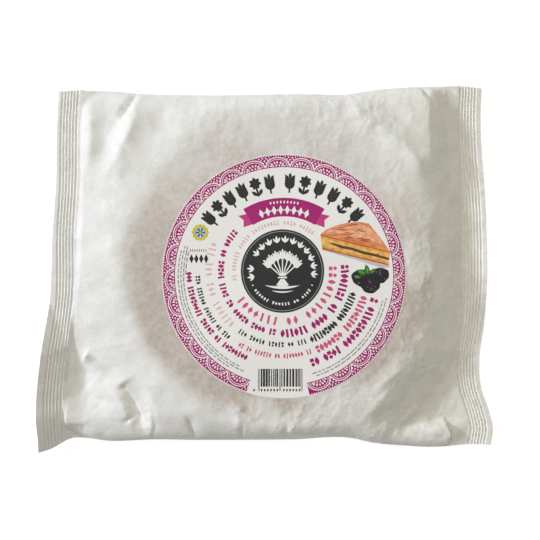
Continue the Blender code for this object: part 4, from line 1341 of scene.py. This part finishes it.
# The inks: colour, and how mottled each is.
INKS = {
    "white": ((0.900, 0.888, 0.872), 0.0),
    "magenta": ((0.385, 0.008, 0.165), 0.14),
    "tail": ((0.56, 0.040, 0.24), 0.12),
    "rose": ((0.66, 0.095, 0.23), 0.12),
    "blush": ((0.74, 0.50, 0.53), 0.08),
    "black": ((0.019, 0.021, 0.024), 0.30),
    "grey": ((0.34, 0.33, 0.33), 0.15),
    "yellow": ((0.66, 0.58, 0.05), 0.15),
    "pale_blue": ((0.34, 0.52, 0.66), 0.15),
    "deep_blue": ((0.035, 0.10, 0.16), 0.15),
    "crust": ((0.78, 0.28, 0.105), 0.40),
    "pale_crust": ((0.86, 0.44, 0.25), 0.35),
    "rosy_crust": ((0.80, 0.42, 0.37), 0.35),
    "glaze": ((0.50, 0.085, 0.030), 0.40),
    "golden": ((0.78, 0.33, 0.06), 0.35),
    "crumb": ((0.83, 0.50, 0.13), 0.35),
    "crumb_light": ((0.88, 0.66, 0.28), 0.25),
    "filling": ((0.11, 0.050, 0.030), 0.30),
    "shadow": ((0.60, 0.57, 0.54), 0.10),
    "plum": ((0.016, 0.014, 0.020), 0.50),
    "plum_shine": ((0.13, 0.12, 0.14), 0.40),
    "leaf": ((0.035, 0.19, 0.025), 0.35),
    "pale_leaf": ((0.13, 0.38, 0.07), 0.30),
}


# The label's noises, and what is made of them, in the same form as the paper's.
INK_FINE, INK_CLOUD = (0.0008, 3.0, 0.6), (0.0030, 3.0, 0.6)
INK_SHADE, INK_ROUGHNESS, INK_MOTTLE = (0.3, 0.7, 0.985, 1.01), (0.3, 0.7, 0.50, 0.58), (0.3, 0.7)
INK_GLOSS, INK_HEIGHT, INK_STRENGTH = 0.25, 0.00005, 0.2


def ink_paper(name, colour, mottle):
    """Smooth label paper under one ink."""
    nodes = Nodes("label_" + name)
    place = nodes.add("TexCoord", {})["Object"]
    fine, cloud = nodes.noise(place, *INK_FINE), nodes.noise(place, *INK_CLOUD)
    mottled = nodes.ramp(cloud, *INK_MOTTLE, -mottle / 2, mottle / 2)
    shade = nodes.math("ADD", nodes.ramp(fine, *INK_SHADE), mottled)
    bump = {"Height": fine, "Strength": INK_STRENGTH, "Distance": INK_HEIGHT}
    nodes.set(nodes.shader, {
        "Base Color": nodes.times((*colour, 1.0), nodes.grey(shade)),
        "Normal": nodes.add("Bump", bump)[0],
        "Roughness": nodes.ramp(fine, *INK_ROUGHNESS),
        "Specular IOR Level": INK_GLOSS,
    })
    return nodes.material


FLOOR_HALF = 1.5
FLOOR_GREY, FLOOR_GLOW, FLOOR_ROUGHNESS = 0.30, 0.82, 0.9


def floor_finish():
    """White paper that hardly takes a shadow."""
    nodes = Nodes("floor")
    nodes.set(nodes.shader, {
        "Base Color": (FLOOR_GREY, FLOOR_GREY, FLOOR_GREY, 1.0),
        "Roughness": FLOOR_ROUGHNESS,
        "Specular IOR Level": 0.0,
        "Emission Color": PLAIN,
        "Emission Strength": FLOOR_GLOW,
    })
    return nodes.material


def make_floor():
    shell = Shell()
    x, y = (np.array(row) * FLOOR_HALF for row in ((-1, 1, 1, -1), (-1, -1, 1, 1)))
    shell.faces.append(tuple(shell.add(x, y, np.zeros(len(x)))))
    floor = shell.build("floor")
    floor.data.materials.append(floor_finish())


CAMERA_TARGET = Vector((0.0016, -0.0006, 0.008))
CAMERA_DISTANCE = 0.493
CAMERA_ELEVATION = 89.3
CAMERA_LENS, CAMERA_SENSOR = 57.5, 36.0

# Cool light falls low from the left through a wide window, and warm light comes evenly from all round.
LIGHT_FROM = Vector((-0.860, 0.245, 0.390))
LIGHT_DISTANCE, LIGHT_SIZE = 2.2, 0.2
LIGHT_POWER, LIGHT_COLOUR = 38.0, (0.83, 0.89, 1.0)
TOP_LIGHT_FROM = Vector((-0.04, 0.26, 1.0))
TOP_LIGHT_SIZE, TOP_LIGHT_POWER, TOP_LIGHT_COLOUR = 1.6, 29.0, (1.0, 0.95, 0.85)
SKY_COLOUR, SKY_STRENGTH = (1.0, 0.955, 0.83, 1.0), 0.07


def make_camera():
    data = bpy.data.cameras.new("camera")
    data.lens, data.sensor_width = CAMERA_LENS, CAMERA_SENSOR
    camera = bpy.data.objects.new("camera", data)
    bpy.context.scene.collection.objects.link(camera)
    up = math.radians(CAMERA_ELEVATION)
    camera.location = CAMERA_TARGET + CAMERA_DISTANCE * Vector((0.0, -math.cos(up), math.sin(up)))
    camera.rotation_euler = (CAMERA_TARGET - camera.location).to_track_quat("-Z", "Y").to_euler()
    bpy.context.scene.camera = camera


def add_light(name, toward, size, power, colour):
    data = bpy.data.lights.new(name, "AREA")
    data.shape, data.size, data.energy, data.color = "SQUARE", size, power, colour
    light = bpy.data.objects.new(name, data)
    bpy.context.scene.collection.objects.link(light)
    light.location = toward.normalized() * LIGHT_DISTANCE
    light.rotation_euler = (-light.location).to_track_quat("-Z", "Y").to_euler()


def make_lights():
    add_light("key", LIGHT_FROM, LIGHT_SIZE, LIGHT_POWER, LIGHT_COLOUR)
    add_light("ceiling", TOP_LIGHT_FROM, TOP_LIGHT_SIZE, TOP_LIGHT_POWER, TOP_LIGHT_COLOUR)
    world = bpy.data.worlds.new("studio")
    world.use_nodes = True
    sky = world.node_tree.nodes["Background"]
    sky.inputs["Color"].default_value = SKY_COLOUR
    sky.inputs["Strength"].default_value = SKY_STRENGTH
    bpy.context.scene.world = world
    bpy.context.scene.view_settings.view_transform = "Standard"


def main():
    make_camera()
    make_lights()
    make_floor()

    paper = wrap_paper()
    wrap = wrap_shell().build("paper_wrap")
    wrap.data.materials.append(paper)
    fin = fin_shell().build("fin_seal")
    fin.data.materials.append(paper)
    for piece in (wrap, fin):
        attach(piece, "root")
    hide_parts("pack")

    inks = list(INKS)
    label = label_shell(inks).build("printed_label")
    for name in inks:
        label.data.materials.append(ink_paper(name, *INKS[name]))
    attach(label, "root")
    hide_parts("label")


main()
